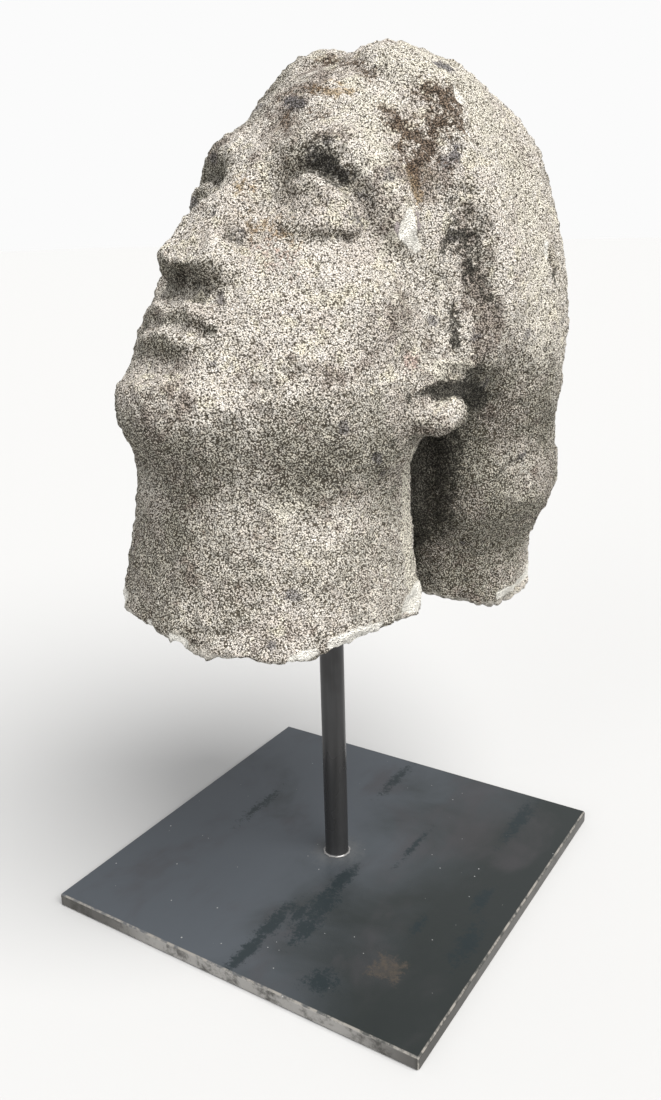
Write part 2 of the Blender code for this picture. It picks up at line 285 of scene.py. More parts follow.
EYES = (
    Egg((12.8, -30.9, -0.8), (7, 6.1, 5.6), blend=1.6),
    flowing(
        (INNER_CORNER, (8.8, -36.2, 1.2), (13, -36.9, 2.7), (17.4, -35, 1.3), OUTER_CORNER),
        (0.7, 1.2, 1.5, 1.3, 0.7),
        blend=2.4,
    ),
    flowing(
        (INNER_CORNER, (9, -35.5, -4.2), (13.2, -35.7, -5.3), (17.2, -34, -4.2), OUTER_CORNER),
        (0.7, 1, 1.2, 1, 0.7),
        blend=2.4,
    ),
)
NOSE = (
    flowing(
        ((0, -37.2, 7), (0, -39.6, -2), (0, -42.6, -9), (0, -44.6, -15.2)),
        (2.6, 2.8, 3.6, 4.6),
        blend=5,
    ),
    Egg((4.9, -40.2, -16.6), (3.2, 4.8, 3.4), blend=3),
)
MOUTH = (
    flowing(
        ((0, -40.4, -26.8), (3.4, -40.6, -26.2), (7.4, -38.4, -27.5), (10.2, -35.4, -29.2)),
        (2, 2, 1.6, 0.8),
        blend=1.8,
    ),
    flowing(
        ((0, -39.9, -32.2), (4.6, -39, -31.9), (9.2, -35.7, -29.8)),
        (2.4, 2.1, 0.9),
        blend=2.2,
    ),
    flowing(
        ((0, -43.4, -29.2), (3.6, -42.7, -28.9), (7.6, -39.8, -29.4), (11.6, -35.8, -29.6)),
        (1, 0.9, 0.8, 0.6),
        blend=1.2,
        carved=True,
    ),
    Egg((0, -43.2, -22.6), (1.5, 2, 3), blend=2, carved=True),
    Egg((0, -43.4, -37), (8.5, 4, 2.6), blend=4, carved=True),
)
HAIR_ON_HEAD = (
    Egg((0, 0.5, 13), (33.3, 34, 39.5), blend=3),
    Egg((11, -17, 31), (14.5, 13, 12.8), blend=5),
    flowing(
        (
            (1.5, -26.5, 36),
            (9, -28, 33.2),
            (18, -23.5, 27),
            (25.2, -12.5, 17),
            (28.4, -3.5, 6),
            (29.4, 1.5, -6),
        ),
        (5.2, 6.4, 6.8, 7, 6.8, 5.6),
        blend=5,
    ),
)
PARTING_AND_HAIRLINE = (
    flowing(
        ((0, -35, 41), (0, -22, 49), (0, -4, 53), (0, 16, 53)),
        (2.2, 1.8, 1.5, 1),
        blend=3,
        carved=True,
    ),
    flowing(
        ((23, -31, 24), (29.5, -22.5, 14), (33.3, -14.5, 5), (34.6, -8.5, -3), (34.8, -4.5, -10)),
        (2, 3.2, 3.6, 3.2, 2),
        blend=4,
        carved=True,
    ),
    Egg((0, -50, 2), (25, 27.5, 37), blend=3, carved=True),
)
EARS = (
    flowing(
        ((32.2, -4.4, -19.5), (33.6, -1.3, -16.9), (34.6, 2.1, -14.3)),
        (1.3, 1.8, 1.9),
        blend=1.5,
        carved=True,
    ),
    flowing(
        ((27.5, -5.2, -25.6), (30.6, -2.2, -23.2), (31.6, 1.2, -20)),
        (2.6, 3.3, 3.2),
        blend=1.5,
    ),
)

# The bust's frame
NECK = (Column((-90, -14), (-31, -25.5), (31.5, 24.5), (35, 26.5), blend=8),)
HAIR_BEHIND_NECK = (
    Egg((0, 14, 1), (34.3, 28.5, 27), blend=8),
    Egg((0, 18, -14), (33.5, 25.5, 34), blend=8),
    Egg((0, 19.5, -36), (32.3, 25.8, 20), blend=6),
    Column((-90, -30), (20, 20), (26.5, 26), (20, 20), blend=5),
)
FURROWS_BY_NECK = (
    Egg((22.8, -5.5, -34.5), (8, 2.8, 23), blend=4, turn=135, carved=True),
    flowing(
        ((35, -6, -12), (34, -3.5, -20), (31, -2.5, -30)),
        (2.4, 3.2, 3),
        blend=3,
        carved=True,
    ),
)

# Breaks, each on the side where it fell
NOSE_BREAK = (Egg((3, -84.6, -12.5), (40, 40, 40), blend=0.8, carved=True),)
NECK_BREAKS = (
    Egg((36, -29, -61), (18, 20, 5), blend=2.5, carved=True),
    Egg((33, -13, -59), (10, 9, 7), blend=2, carved=True),
)
BY_THE_EAR = (
    Bar(((32, -12.6, -8.8), (34, -8.4, -9.4), (34.4, -5.6, -10.2)), (1.2, 1.6, 1.2), 0.8),
    flowing(
        ((31.3, -15.2, -12.1), (31, -11.5, -12.6), (30.4, -6, -13.4), (29.6, -0.5, -15)),
        (0.5, 1.2, 1.6, 2.0),
        blend=0.5,
        carved=True,
    ),
)
FOOT = (Egg((20, -4.6, -57), (4.8, 5.4, 3.4), blend=1.2),)
CHIPS = (
    Bar(((29.6, -17.7, 19.6), (29.6, -18.9, 16.2), (29, -15.9, 12.8)), (1.5, 2.3, 1.2), 0.5, True),
    Bar(((26.2, -1.1, 40.4), (26.5, -0.7, 38.6)), (1.3, 1.3), 0.5, True),
    Bar(((35.6, 15.5, 11.6), (35.9, 17.2, 8.6)), (1.2, 1.0), 0.6, True),
    Egg((27.2, -12.8, -57.2), (4.4, 6, 4), blend=0.6, carved=True),
    Egg((32.3, -34, -56.8), (4.2, 6.4, 2.6), blend=0.5, carved=True),
    Egg((27.6, -47.8, -58), (3.2, 3.6, 2), blend=0.5, carved=True),
    Bar(((29.6, 15.5, -64), (29, 24, -63.8), (27, 31.5, -62)), (3.5, 3.8, 3.4), 0.4, True),
    Egg((-15.5, -60.3, -54), (4.5, 4.3, 2.4), blend=0.6, carved=True),
    Egg((-1.5, -62.2, -55), (2.2, 3, 2), blend=0.5, carved=True),
    Egg((7, -61.6, -55.8), (2.8, 3.2, 2), blend=0.5, carved=True),
    Egg((14, 43.5, -30), (4.6, 2.2, 3.4), blend=0.9, carved=True),
    Egg((-36.5, 12, 6), (1.7, 3.2, 4.4), blend=0.9, carved=True),
)
CRACKS = (
    flowing(
        ((31.2, -24.6, -13.6), (31.5, -22.2, -12.5), (31.8, -18.6, -12.6), (32.2, -15.4, -11.9)),
        (0.25, 0.5, 0.45, 0.8),
        blend=0.4,
        carved=True,
    ),
    flowing(
        ((30.5, 7.6, -32.6), (31.3, 10.2, -31.2), (32, 12.6, -30.6), (32.9, 14.8, -29.2)),
        (0.25, 0.5, 0.45, 0.2),
        blend=0.4,
        carved=True,
    ),
    flowing(
        ((33.4, 13.5, -25.2), (34, 16.4, -24.2)),
        (0.4, 0.2),
        blend=0.4,
        carved=True,
    ),
    flowing(
        ((35.8, 16.4, 10.4), (36.4, 17.6, 8), (36.4, 17.9, 5.6)),
        (0.5, 0.6, 0.3),
        blend=0.4,
        carved=True,
    ),
)


class Seed(IntEnum):
    """Which set of random heights each roughness takes. The grain takes three in a row."""

    WEAR = 1
    BREAK = 3
    CHIPPED = 5
    SWEPT = 11
    HANGING = 12
    WORN = 13
    GRAIN = 21
    PITS = 31


@dataclass(frozen=True)
class Locks:
    """Worn grooves between the locks, which fall from the parting and sweep back to the nape."""

    spacing: float = 4.4
    depth: float = 0.34
    strands: float = 1.5
    strand_depth: float = 0.1
    narrowness: float = 2.5
    skull: float = 36.0
    skull_middle: float = 8.0
    sweep: float = 27.0
    sweep_bend: float = 1.3
    wave: float = 0.8
    wave_length: float = 13.0
    wave_slant: float = 9.0
    stir: float = 0.5
    stir_size: float = 8.0
    hanging: float = 5.2
    hanging_share: float = 0.45
    hanging_wave: float = 5.5
    hanging_stir: float = 0.6
    hangs_from: float = -26.0
    hangs_within: float = 16.0
    worn_size: float = 13.0
    usual_share: float = 0.62
    worn_swing: float = 0.8
    least_share: float = 0.12

    def depths(self, head: np.ndarray, bust: np.ndarray) -> np.ndarray:
        """Measures the grooves.

        Args:
            head: Points in the head's frame.
            bust: The same points in the bust's.

        Returns:
            How deep the hair is cut at each point.
        """
        fall = np.arctan2(np.abs(head[:, 0]), head[:, 2] - self.skull_middle)
        down = fall * self.skull
        swept = head[:, 1] - self.sweep * (np.maximum(fall, 0) / (math.pi / 2)) ** self.sweep_bend
        swept += self.wave * np.sin(math.tau * down / self.wave_length + swept / self.wave_slant)
        swept += self.stir * ripples(head, self.stir_size, Seed.SWEPT)
        upper = self.groove(swept / self.spacing) * self.depth
        upper += self.groove(swept / self.strands) * self.strand_depth
        side = bust[:, 0] + self.wave * np.sin(bust[:, 2] / self.hanging_wave)
        side += self.hanging_stir * ripples(bust, self.stir_size, Seed.HANGING)
        lower = self.groove(side / self.hanging) * self.depth * self.hanging_share
        share = np.clip((bust[:, 2] - self.hangs_from) / self.hangs_within, 0, 1)
        left = self.usual_share + self.worn_swing * ripples(bust, self.worn_size, Seed.WORN)
        return np.clip(left, self.least_share, 1) * (share * upper + (1 - share) * lower)

    def groove(self, turns: np.ndarray) -> np.ndarray:
        """A groove at each whole number, between nought and one."""
        return (0.5 + 0.5 * np.cos(math.tau * turns)) ** self.narrowness


def join(stone: np.ndarray, shape: np.ndarray, blend: float) -> np.ndarray:
    """Adds a shape to the stone.

    Args:
        stone: The stone's distances.
        shape: The shape's.
        blend: How wide the corner between them is filled.

    Returns:
        The distances of both together.
    """
    overlap = np.maximum(blend - np.abs(stone - shape), 0) / blend
    return np.minimum(stone, shape) - overlap**2 * blend / 4


def work(stone: np.ndarray, shapes: Sequence[Form], points: np.ndarray) -> np.ndarray:
    """Adds or carves away each shape in turn, as far as it reaches.

    Args:
        stone: The stone's distances.
        shapes: The shapes, in the order of the work.
        points: The points that the distances are for.

    Returns:
        The new distances.
    """
    stone = stone.copy()
    for shape in shapes:
        middle, radius = shape.ball()
        reach = radius + 2 * shape.blend + REACH
        near = ((points - middle) ** 2).sum(axis=1) < reach**2
        added = shape.distance(points[near])
        if shape.carved:
            stone[near] = -join(-stone[near], added, shape.blend)
        else:
            stone[near] = join(stone[near], added, shape.blend)
    return stone


def scattered(cells: np.ndarray, seed: int) -> np.ndarray:
    """Gives each cell a height of its own.

    Args:
        cells: One whole-numbered cell to a row.
        seed: Which set of heights.

    Returns:
        Heights between -1 and 1.
    """
    mixed = cells @ np.array(CELL_PRIMES) + seed * SEED_PRIME
    mixed ^= mixed >> 13
    mixed *= MIXING_PRIME
    mixed ^= mixed >> 16
    return (mixed & HEIGHT_STEPS) / (HEIGHT_STEPS / 2) - 1


def ripples(points: np.ndarray, size: float, seed: int) -> np.ndarray:
    """Makes smooth random hills and hollows, about one to each length of the size.

    Args:
        points: Where they are wanted, one point to a row.
        size: How far apart they are.
        seed: Which set of hills.

    Returns:
        Heights between -1 and 1.
    """
    cells = np.floor(points / size).astype(np.int64)
    share = points / size - cells
    share = share * share * (3 - 2 * share)
    found = np.zeros(len(points))
    for corner in np.ndindex(2, 2, 2):
        height = scattered(cells + corner, seed)
        found += height * np.where(corner, share, 1 - share).prod(axis=1)
    return found


def pits(points: np.ndarray, apart: float, seed: int) -> np.ndarray:
    """Measures how near points are to a scatter of pits.

    Args:
        points: One point to a row.
        apart: How far apart the pits are.
        seed: Which scatter.

    Returns:
        The distance of each to the next pit's middle, as a share of the distance between pits.
    """
    scaled = points / apart
    cells = np.floor(scaled).astype(np.int64)
    found = np.full(len(points), 9.0)
    for corner in np.ndindex(3, 3, 3):
        cell = cells + corner - 1
        middle = [(scattered(cell, seed + axis) + 1) / 2 for axis in range(3)]
        found = np.minimum(found, np.linalg.norm(scaled - cell - np.array(middle).T, axis=1))
    return found


def rough(points: np.ndarray, depth: float, sizes: Sequence[float], seed: int) -> np.ndarray:
    """Lays ripples of several sizes over one another.

    Args:
        points: One point to a row.
        depth: How high the largest are.
        sizes: How far apart each sort is.
        seed: Which set of hills.

    Returns:
        Their height at each point.
    """
    layers = zip(sizes, FINER_SHARES)
    return depth * sum(share * ripples(points, size, seed) for size, share in layers)


def folded(points: np.ndarray) -> np.ndarray:
    """Lays the right side on the left, so that one carving serves for both.

    Args:
        points: One point to a row.

    Returns:
        The folded points.
    """
    across = np.sqrt(points[:, 0] ** 2 + MIDLINE_SOFTNESS**2) - MIDLINE_SOFTNESS
    return np.column_stack((across, points[:, 1:]))


def over_break(points: np.ndarray) -> np.ndarray:
    """Measures how far points lie over the broken underside.

    Args:
        points: Points in the bust's frame.

    Returns:
        The height of each over it, below nought under it.
    """
    height = (points[:, :2] - np.array(ROD_SPOT)) @ np.array(BREAK_SLOPE)
    height -= EARS_OVER_BREAK + points[:, 2]
    height -= HAIR_HANGS_LOWER * np.clip(points[:, 1] / HAIR_BEGINS_BY, 0, 1)
    return -height


def bored(stone: np.ndarray, points: np.ndarray) -> np.ndarray:
    """Bores the stone for its rod.

    Args:
        stone: The stone's distances.
        points: The points that they are for, in the bust's frame.

    Returns:
        The new distances.
    """
    radius = (ROD_DIAMETER / 2 + FIT_GAP) / HUNDREDTH
    end = (ROD_TOP + FIT_GAP - EAR_HEIGHT) / HUNDREDTH
    spot = points[:, :2] - np.array(ROD_SPOT)
    hole = np.maximum(np.linalg.norm(spot, axis=1) - radius, points[:, 2] - end)
    return np.maximum(stone, -hole)


def stone_distance(points: np.ndarray) -> np.ndarray:
    """Measures how far points lie outside the finished stone.

    Args:
        points: Points in the bust's frame, in hundredths.

    Returns:
        The distance of each, below nought inside.
    """
    tipped = points @ np.array(HEAD_TILT)[:3, :3]
    head, bust = folded(tipped), folded(points)
    stone = work(np.full(len(points), 1e3), SKULL_AND_JAW, head)
    stone = work(stone, NECK, bust)
    stone = work(stone, BROWS + EYES + NOSE + MOUTH, head)
    hair = work(np.full(len(points), 1e3), HAIR_ON_HEAD, head)
    hair = work(hair, HAIR_BEHIND_NECK, bust)
    hair = work(hair, PARTING_AND_HAIRLINE, head)
    hair += Locks().depths(tipped, points)
    stone = join(stone, hair, HAIR_BLEND)
    stone = work(stone, FURROWS_BY_NECK, bust)
    stone = work(stone, EARS, head)
    stone = work(stone, NOSE_BREAK, tipped)
    stone = work(stone, BY_THE_EAR + NECK_BREAKS + CHIPS + CRACKS, points)
    stone += rough(points, WEAR_DEPTH, WEAR_SIZES, Seed.WEAR)
    broken = -over_break(points) + rough(points, BREAK_ROUGHNESS, BREAK_SIZES, Seed.BREAK)
    broken += rough(points, CHIPPED_ROUGHNESS, CHIPPED_SIZES, Seed.CHIPPED)
    stone = -join(-stone, -broken, BREAK_ROUNDING)
    return bored(work(stone, FOOT, points), points)


class Tint(Enum):
    """What has marked the stone, and where shade is painted on it. Each is painted as an attribute
    of that name.
    """

    MOTTLED = "mottled"
    # Painted shade in the recesses, and grime in the grooves and cracks.
    SHADE_AND_GRIME = "shade_and_grime"
    RUST = "rust"
    OCHRE = "ochre"
    SLATE = "slate"
    BLEACHED = "bleached"
    FRESH = "fresh"
    PINK = "pink"
    # The soot attribute marks painted shade as well as grey weathering.
    SHADE_AND_SOOT = "soot"
    VEIN = "vein"


@dataclass(frozen=True)
class Mark:
    """A stain or chip along a line of points, in the bust's frame and in hundredths.

    Each point has its radius, and the edge is as soft as the third value says.
    """

    points: tuple[Place, ...]
    radii: tuple[float, ...]
    soft: float
    strength: float = 1.0

    def shares(self, points: np.ndarray) -> np.ndarray:
        """Measures how strongly points are marked.

        Args:
            points: One point to a row.

        Returns:
            Shares between nought and one.
        """
        line, radii = self.points, self.radii
        if len(line) == 1:
            line, radii = (line[0], tuple(np.array(line[0]) + SPOT_LENGTH)), radii * 2
        away = Bar(line, radii, 0).distance(points)
        return self.strength * np.clip(0.5 - away / (2 * self.soft), 0, 1)


MARKS = {
    Tint.MOTTLED: (
        Mark(((-4, -14, 44), (2, -22, 38), (8, -25, 32), (12, -27, 24)), (8, 8, 6, 5), 6),
        Mark(((22, -8, 41), (26, -9, 32), (27, -12, 25)), (6, 6, 4), 5, 0.9),
        Mark(((31, -6, 18), (35, -4, 4)), (4, 4), 4, 0.8),
    ),
    # Painted shade in the recess by the neck, under the ear and by the eye, with grime along the
    # grooves and cracks.
    Tint.SHADE_AND_GRIME: (
        Mark(
            (
                (29.4, -7.3, 20.8), (30.1, -6.5, 17.2), (31.4, -5.6, 13.4), (33, -4.8, 8),
                (35.1, -3.5, 4.2),
            ),
            (0.5, 1.9, 2.6, 2, 0.8), 3.2, 0.8,
        ),
        Mark(((31.2, -8.9, 1.8), (31.6, -9.2, -1), (32.4, -9.5, -3.9)), (0.9, 1.3, 1), 1.6),
        Mark(((29.7, -9.4, 13.9), (29.6, -10, 12)), (1.5, 1), 2, 0.8),
        Mark(((33.9, -3.3, 17.4),), (1.4,), 2.2, 0.75),
        Mark(((35.4, -3, 3.6), (35.9, -2, -0.5)), (0.8, 0.5), 2.4, 0.6),
        Mark(
            ((25, -5, -20.5), (22.5, -2, -27), (21, -0.5, -36), (21, -0.5, -46), (21, -2, -53)),
            (6.5, 5, 4.2, 3.4, 2.4), 4.5, 1.15,
        ),
        Mark(
            (
                (20.5, -5.5, -22), (17, -1.8, -28), (16.6, -1.8, -34), (16.2, -1, -40),
                (15.4, 1, -47),
            ),
            (4.2, 3.8, 3.8, 3.4, 2.2), 2.2, 1.25,
        ),
        Mark(
            ((31.6, -15.4, -12.1), (31.6, -13.2, -12.5), (30.8, -3.6, -13.8), (29.6, 1.8, -16.4)),
            (1, 1.9, 2.9, 2.4), 1.6, 1.15,
        ),
        Mark(((31.1, -23.5, -13), (31.6, -15.4, -11.9)), (0.3, 0.8), 1),
        Mark(((30.1, 7.4, -32.7), (32.6, 14.6, -29.3)), (0.35, 0.25), 0.9),
        Mark(((33, 13.5, -25.4), (34, 17.5, -23.9)), (0.25, 0.2), 0.8, 0.8),
        Mark(((35.9, 16.6, 9.6), (36.2, 17.9, 5.8)), (1, 0.9), 1.4),
        # Painted shade and stain by the eye.
        Mark(((15, -25.5, 28.6), (17.6, -24.4, 25.4)), (3.4, 2.6), 3.5, 0.8),
    ),
    Tint.RUST: (
        Mark(
            (
                (22.8, -6.2, 39.8), (25.3, -4.2, 38.8), (26.2, -5.3, 36), (25.8, -7.4, 33),
                (25.5, -10.2, 29.6), (25.4, -13, 26.6), (26.2, -13.3, 24.9),
            ),
            (1.8, 2.8, 2.6, 2, 2.5, 1.9, 1.1), 3.4,
        ),
        Mark(((18.8, -13.4, 36.6), (21.6, -12.5, 34.1), (24, -11, 32)), (0.8, 1.5, 1.9), 2.8),
        Mark(((26.3, -2.4, 38.6), (27, -3.2, 35.5), (28.7, -3.7, 32.6)), (1.4, 0.9, 0.5), 1.6),
        Mark(((23.6, -14, 30), (24.1, -14, 28.2)), (1.3, 1), 2),
        Mark(((27, -8.5, 31), (28.2, -6, 26.5)), (1.6, 1.2), 2.5, 0.6),
        Mark(((-3.7, -5.2, 48.1), (3.3, -7, 46.7), (13.4, -10.6, 42.6)), (1.8, 1.5, 0.9), 2.6, 0.9),
        Mark(((-2.2, -18.6, 40.8), (2.7, -17.3, 41.7), (7, -17, 41)), (1.1, 0.9, 0.6), 2, 0.75),
        Mark(((3.2, -22.8, 36.2), (3.8, -23.8, 34.6)), (1.2, 1.4), 2.2, 0.85),
        Mark(((7.5, -21, 37.3), (11, -22, 35.5)), (1.4, 2), 3, 0.6),
        Mark(((14, -24.5, 30.5), (8, -27, 27)), (3.2, 2), 3.5, 0.55),
    ),
    Tint.OCHRE: (
        Mark(((6.6, -15.2, 42.4), (9.2, -14.8, 42)), (0.7, 0.6), 1.2, 0.9),
        Mark(((5, -17.3, 41.2), (9.5, -17, 40.4), (12.5, -15.4, 40)), (0.8, 1, 0.8), 1.6, 0.9),
        Mark(((25.4, -14.4, 25.4), (26.6, -14.4, 23), (27, -14.6, 21)), (1.3, 1.7, 0.8), 2.2),
        Mark(((24, -12.4, 31.2), (23.2, -13.4, 30.6)), (1.2, 1.2), 2.4, 0.6),
        Mark(((3, -33.9, 24.5),), (2.4,), 2.5, 0.7),
        Mark(((6, -34.6, 17.5), (14, -32, 15)), (2.2, 2), 3, 0.7),
        Mark(((20.4, -12.2, 37.3), (22.2, -9.8, 36.6)), (1, 0.7), 1.6, 0.6),
        Mark(((32.3, -11.2, -9.8), (32.9, -8.4, -9.9)), (0.6, 0.5), 1, 0.9),
        Mark(((34.8, 3, 5.5), (35, 5.5, 7.5)), (1.5, 1), 3, 0.5),
    ),
    Tint.SLATE: (
        Mark(((1.4, -20.2, 39.2), (4.6, -20.4, 38.2)), (1.5, 1.3), 1.2),
        # Painted shade and stain by the eye.
        Mark(((13.8, -26.4, 29), (18.8, -24.3, 25.3)), (2, 1.4), 1.8, 0.9),
        Mark(((21.2, -0.2, 44.8), (22.6, 0.4, 44.2)), (1.6, 1.1), 1.2),
        Mark(((-6, -2.6, 50.4),), (1.3,), 1.6, 0.8),
        Mark(((27.6, -7.3, 27.6), (28.6, -5.7, 28.6), (28.6, -5, 30)), (1.1, 1.4, 0.8), 1.6),
        Mark(((21.5, -25.6, 18.5), (23.5, -24.3, 17.6)), (1.2, 0.9), 1.3),
        Mark(((4.8, -37.2, 15.8),), (1.5,), 1.2, 0.9),
        Mark(((19.5, -4, 43.2),), (0.9,), 1.2, 0.7),
    ),
    Tint.BLEACHED: (
        Mark(
            ((16, -5, 46), (27, 4, 39), (34, 12, 24), (37, 12, 8), (37, 14, -6)),
            (7, 9, 9, 7, 5), 9, 0.75,
        ),
        Mark(((26, -19, 25), (31, -22, 4)), (7, 7), 8, 0.4),
        Mark(((14, -14, 42), (19, -17, 36), (22, -20, 28)), (4, 5, 4), 5, 0.75),
        Mark(((32.4, -13.4, -8.4), (34.6, -8, -9.2)), (1.8, 2), 1, 1.4),
        Mark(
            (
                (26.5, -17.5, -23), (24.2, -13.8, -30), (24, -13.6, -36), (25, -14.6, -42),
                (25.4, -14.4, -48), (24.6, -12.4, -53),
            ),
            (1.8, 2.6, 2.9, 3, 3.4, 4), 2.4, 1.4,
        ),
        Mark(((23.5, -10, -50), (21.5, -6.5, -56)), (2, 3), 2.5),
        Mark(
            ((22.8, -41, -28), (20.4, -44.1, -31), (20.6, -44.6, -33.6)),
            (1.6, 2, 1.6), 2.6, 0.85,
        ),
        Mark(((24.6, -45, -39), (27, -39, -38)), (2.4, 2), 5, 0.45),
        Mark(((26.9, -20.1, 15), (26, -21.6, 13)), (1.6, 1.2), 2, 0.9),
        Mark(((23, -1.6, 43), (25.2, -1.2, 41.4)), (1, 1), 1.4),
        Mark(((18.6, -13, 38.2), (21.5, -10.6, 37.8), (23.4, -8.8, 36.8)), (1.6, 1.2, 0.8), 2),
        Mark(((13, -7.9, 45.8), (11, -6.4, 46.6)), (1.6, 1), 2.4, 0.8),
        Mark(((22.6, -12.9, 31),), (1.3,), 1.6, 0.8),
        Mark(((34.6, 3.2, 7.4),), (1.2,), 1.6, 0.9),
        Mark(((30, -24.5, -56.8), (29.2, -19.5, -55.8)), (1.5, 1.4), 1.6),
    ),
    Tint.FRESH: (
        Mark(((28.8, -17.2, 19.4), (28.5, -18.4, 16), (28, -15.3, 12.9)), (0.9, 1.9, 0.8), 0.6),
        Mark(((32.3, -12.6, -8.6), (34.2, -9, -9.4)), (1, 1.1), 1.1, 0.75),
        Mark(((25.6, -1.2, 40.4), (25.9, -0.7, 38.2)), (0.8, 1.1), 0.6),
        Mark(((34.4, 15.3, 12.6), (34.8, 15.7, 10)), (1, 0.8), 0.7),
        Mark(
            ((26.8, -18, -54.5), (24.2, -12.2, -55.5), (21.5, -7.5, -57), (17, -2, -59.5)),
            (2, 3.4, 3, 1.6), 1,
        ),
        Mark(((26.8, 15.5, -62), (26.2, 22, -61.6), (24.4, 29, -60.6)), (1.2, 1.8, 1.8), 0.8),
        Mark(((29.4, -28, -55.6), (28.4, -33, -55.6), (27.6, -39, -55.6)), (1.1, 1.8, 1.2), 0.8),
        Mark(((26.6, -43, -56.6), (25, -47, -57)), (1, 0.8), 0.8, 0.9),
        Mark(((-19, -54, -51.4), (-13, -57, -52.2)), (1.7, 1.6), 1.6, 0.95),
        Mark(((-9, -58, -53.4),), (0.9,), 0.9, 0.8),
        Mark(((-1.2, -59.4, -53.6),), (1.1,), 0.9, 0.95),
        Mark(((5.6, -58.9, -54.4), (8.4, -58.3, -54.9)), (1, 0.9), 0.8),
        Mark(((-36, 12, 6), (-36, 11, 3)), (1.4, 1), 0.8, 0.9),
    ),
    Tint.PINK: (
        Mark(((30.6, -20, -6.4),), (1.8,), 2, 0.8),
        Mark(((10, -35, 13), (15, -33.5, 10)), (3.2, 3), 4, 0.6),
    ),
    # Painted shade and grey weathering: broad soft darkening on the hair, the neck and jaw and
    # round the ear.
    Tint.SHADE_AND_SOOT: (
        Mark(
            ((29.9, 5.4, -20.7), (28, 5.5, -26), (29, 8, -38), (27.4, 13.7, -48.6), (24, 11, -57)),
            (8, 9, 11, 13, 12), 9,
        ),
        Mark(((28, -14, -17), (31.5, -9, -17)), (3.6, 3.4), 2.4, 1.3),
        Mark(((32.3, 15, -29.6), (33, 18.5, -33), (32, 21, -38)), (5, 6, 5), 5, 0.9),
        Mark(
            ((20, -38, -20), (29, -26, -22), (25, -20, -36), (20, -30, -48)),
            (6, 7, 7, 6), 9, 0.8,
        ),
        Mark(((34.5, 16.2, -17.7), (32.5, 22, -28), (30, 27, -36)), (5, 9, 9), 8, 1.15),
        Mark(((12, -55, -44), (24, -45, -46), (26, -30, -50)), (8, 8, 7), 9, 0.5),
        Mark(((30.6, 0.5, -13.5), (30, 4, -18)), (3.4, 4), 5, 0.9),
        Mark(((8.2, -52.3, -27), (3, -55, -34)), (5, 3), 7, 0.75),
        Mark(((-3.4, -56.1, -38), (1, -58, -50), (8, -57.5, -53)), (3, 4, 2.5), 7, 0.7),
        Mark(((-22, -45, -30), (-22, -48, -50)), (7, 6), 8, 0.55),
        Mark(((-20, -25, 36), (-22, -12, 44), (-16, 0, 50)), (7, 6, 5), 7, 0.85),
        Mark(((-2, -19, 41), (4, -23, 35.5), (11, -24, 33)), (3, 4.5, 3), 7, 0.6),
    ),
    Tint.VEIN: (
        Mark(((28.6, -15.6, 19.2), (29, -15.3, 16.6)), (0.55, 0.75), 0.35),
        Mark(
            ((27.6, -20.4, 17), (28, -19.9, 14.4), (28.2, -18.4, 12.6)),
            (0.7, 0.6, 0.2), 0.5, 0.9,
        ),
    ),
}


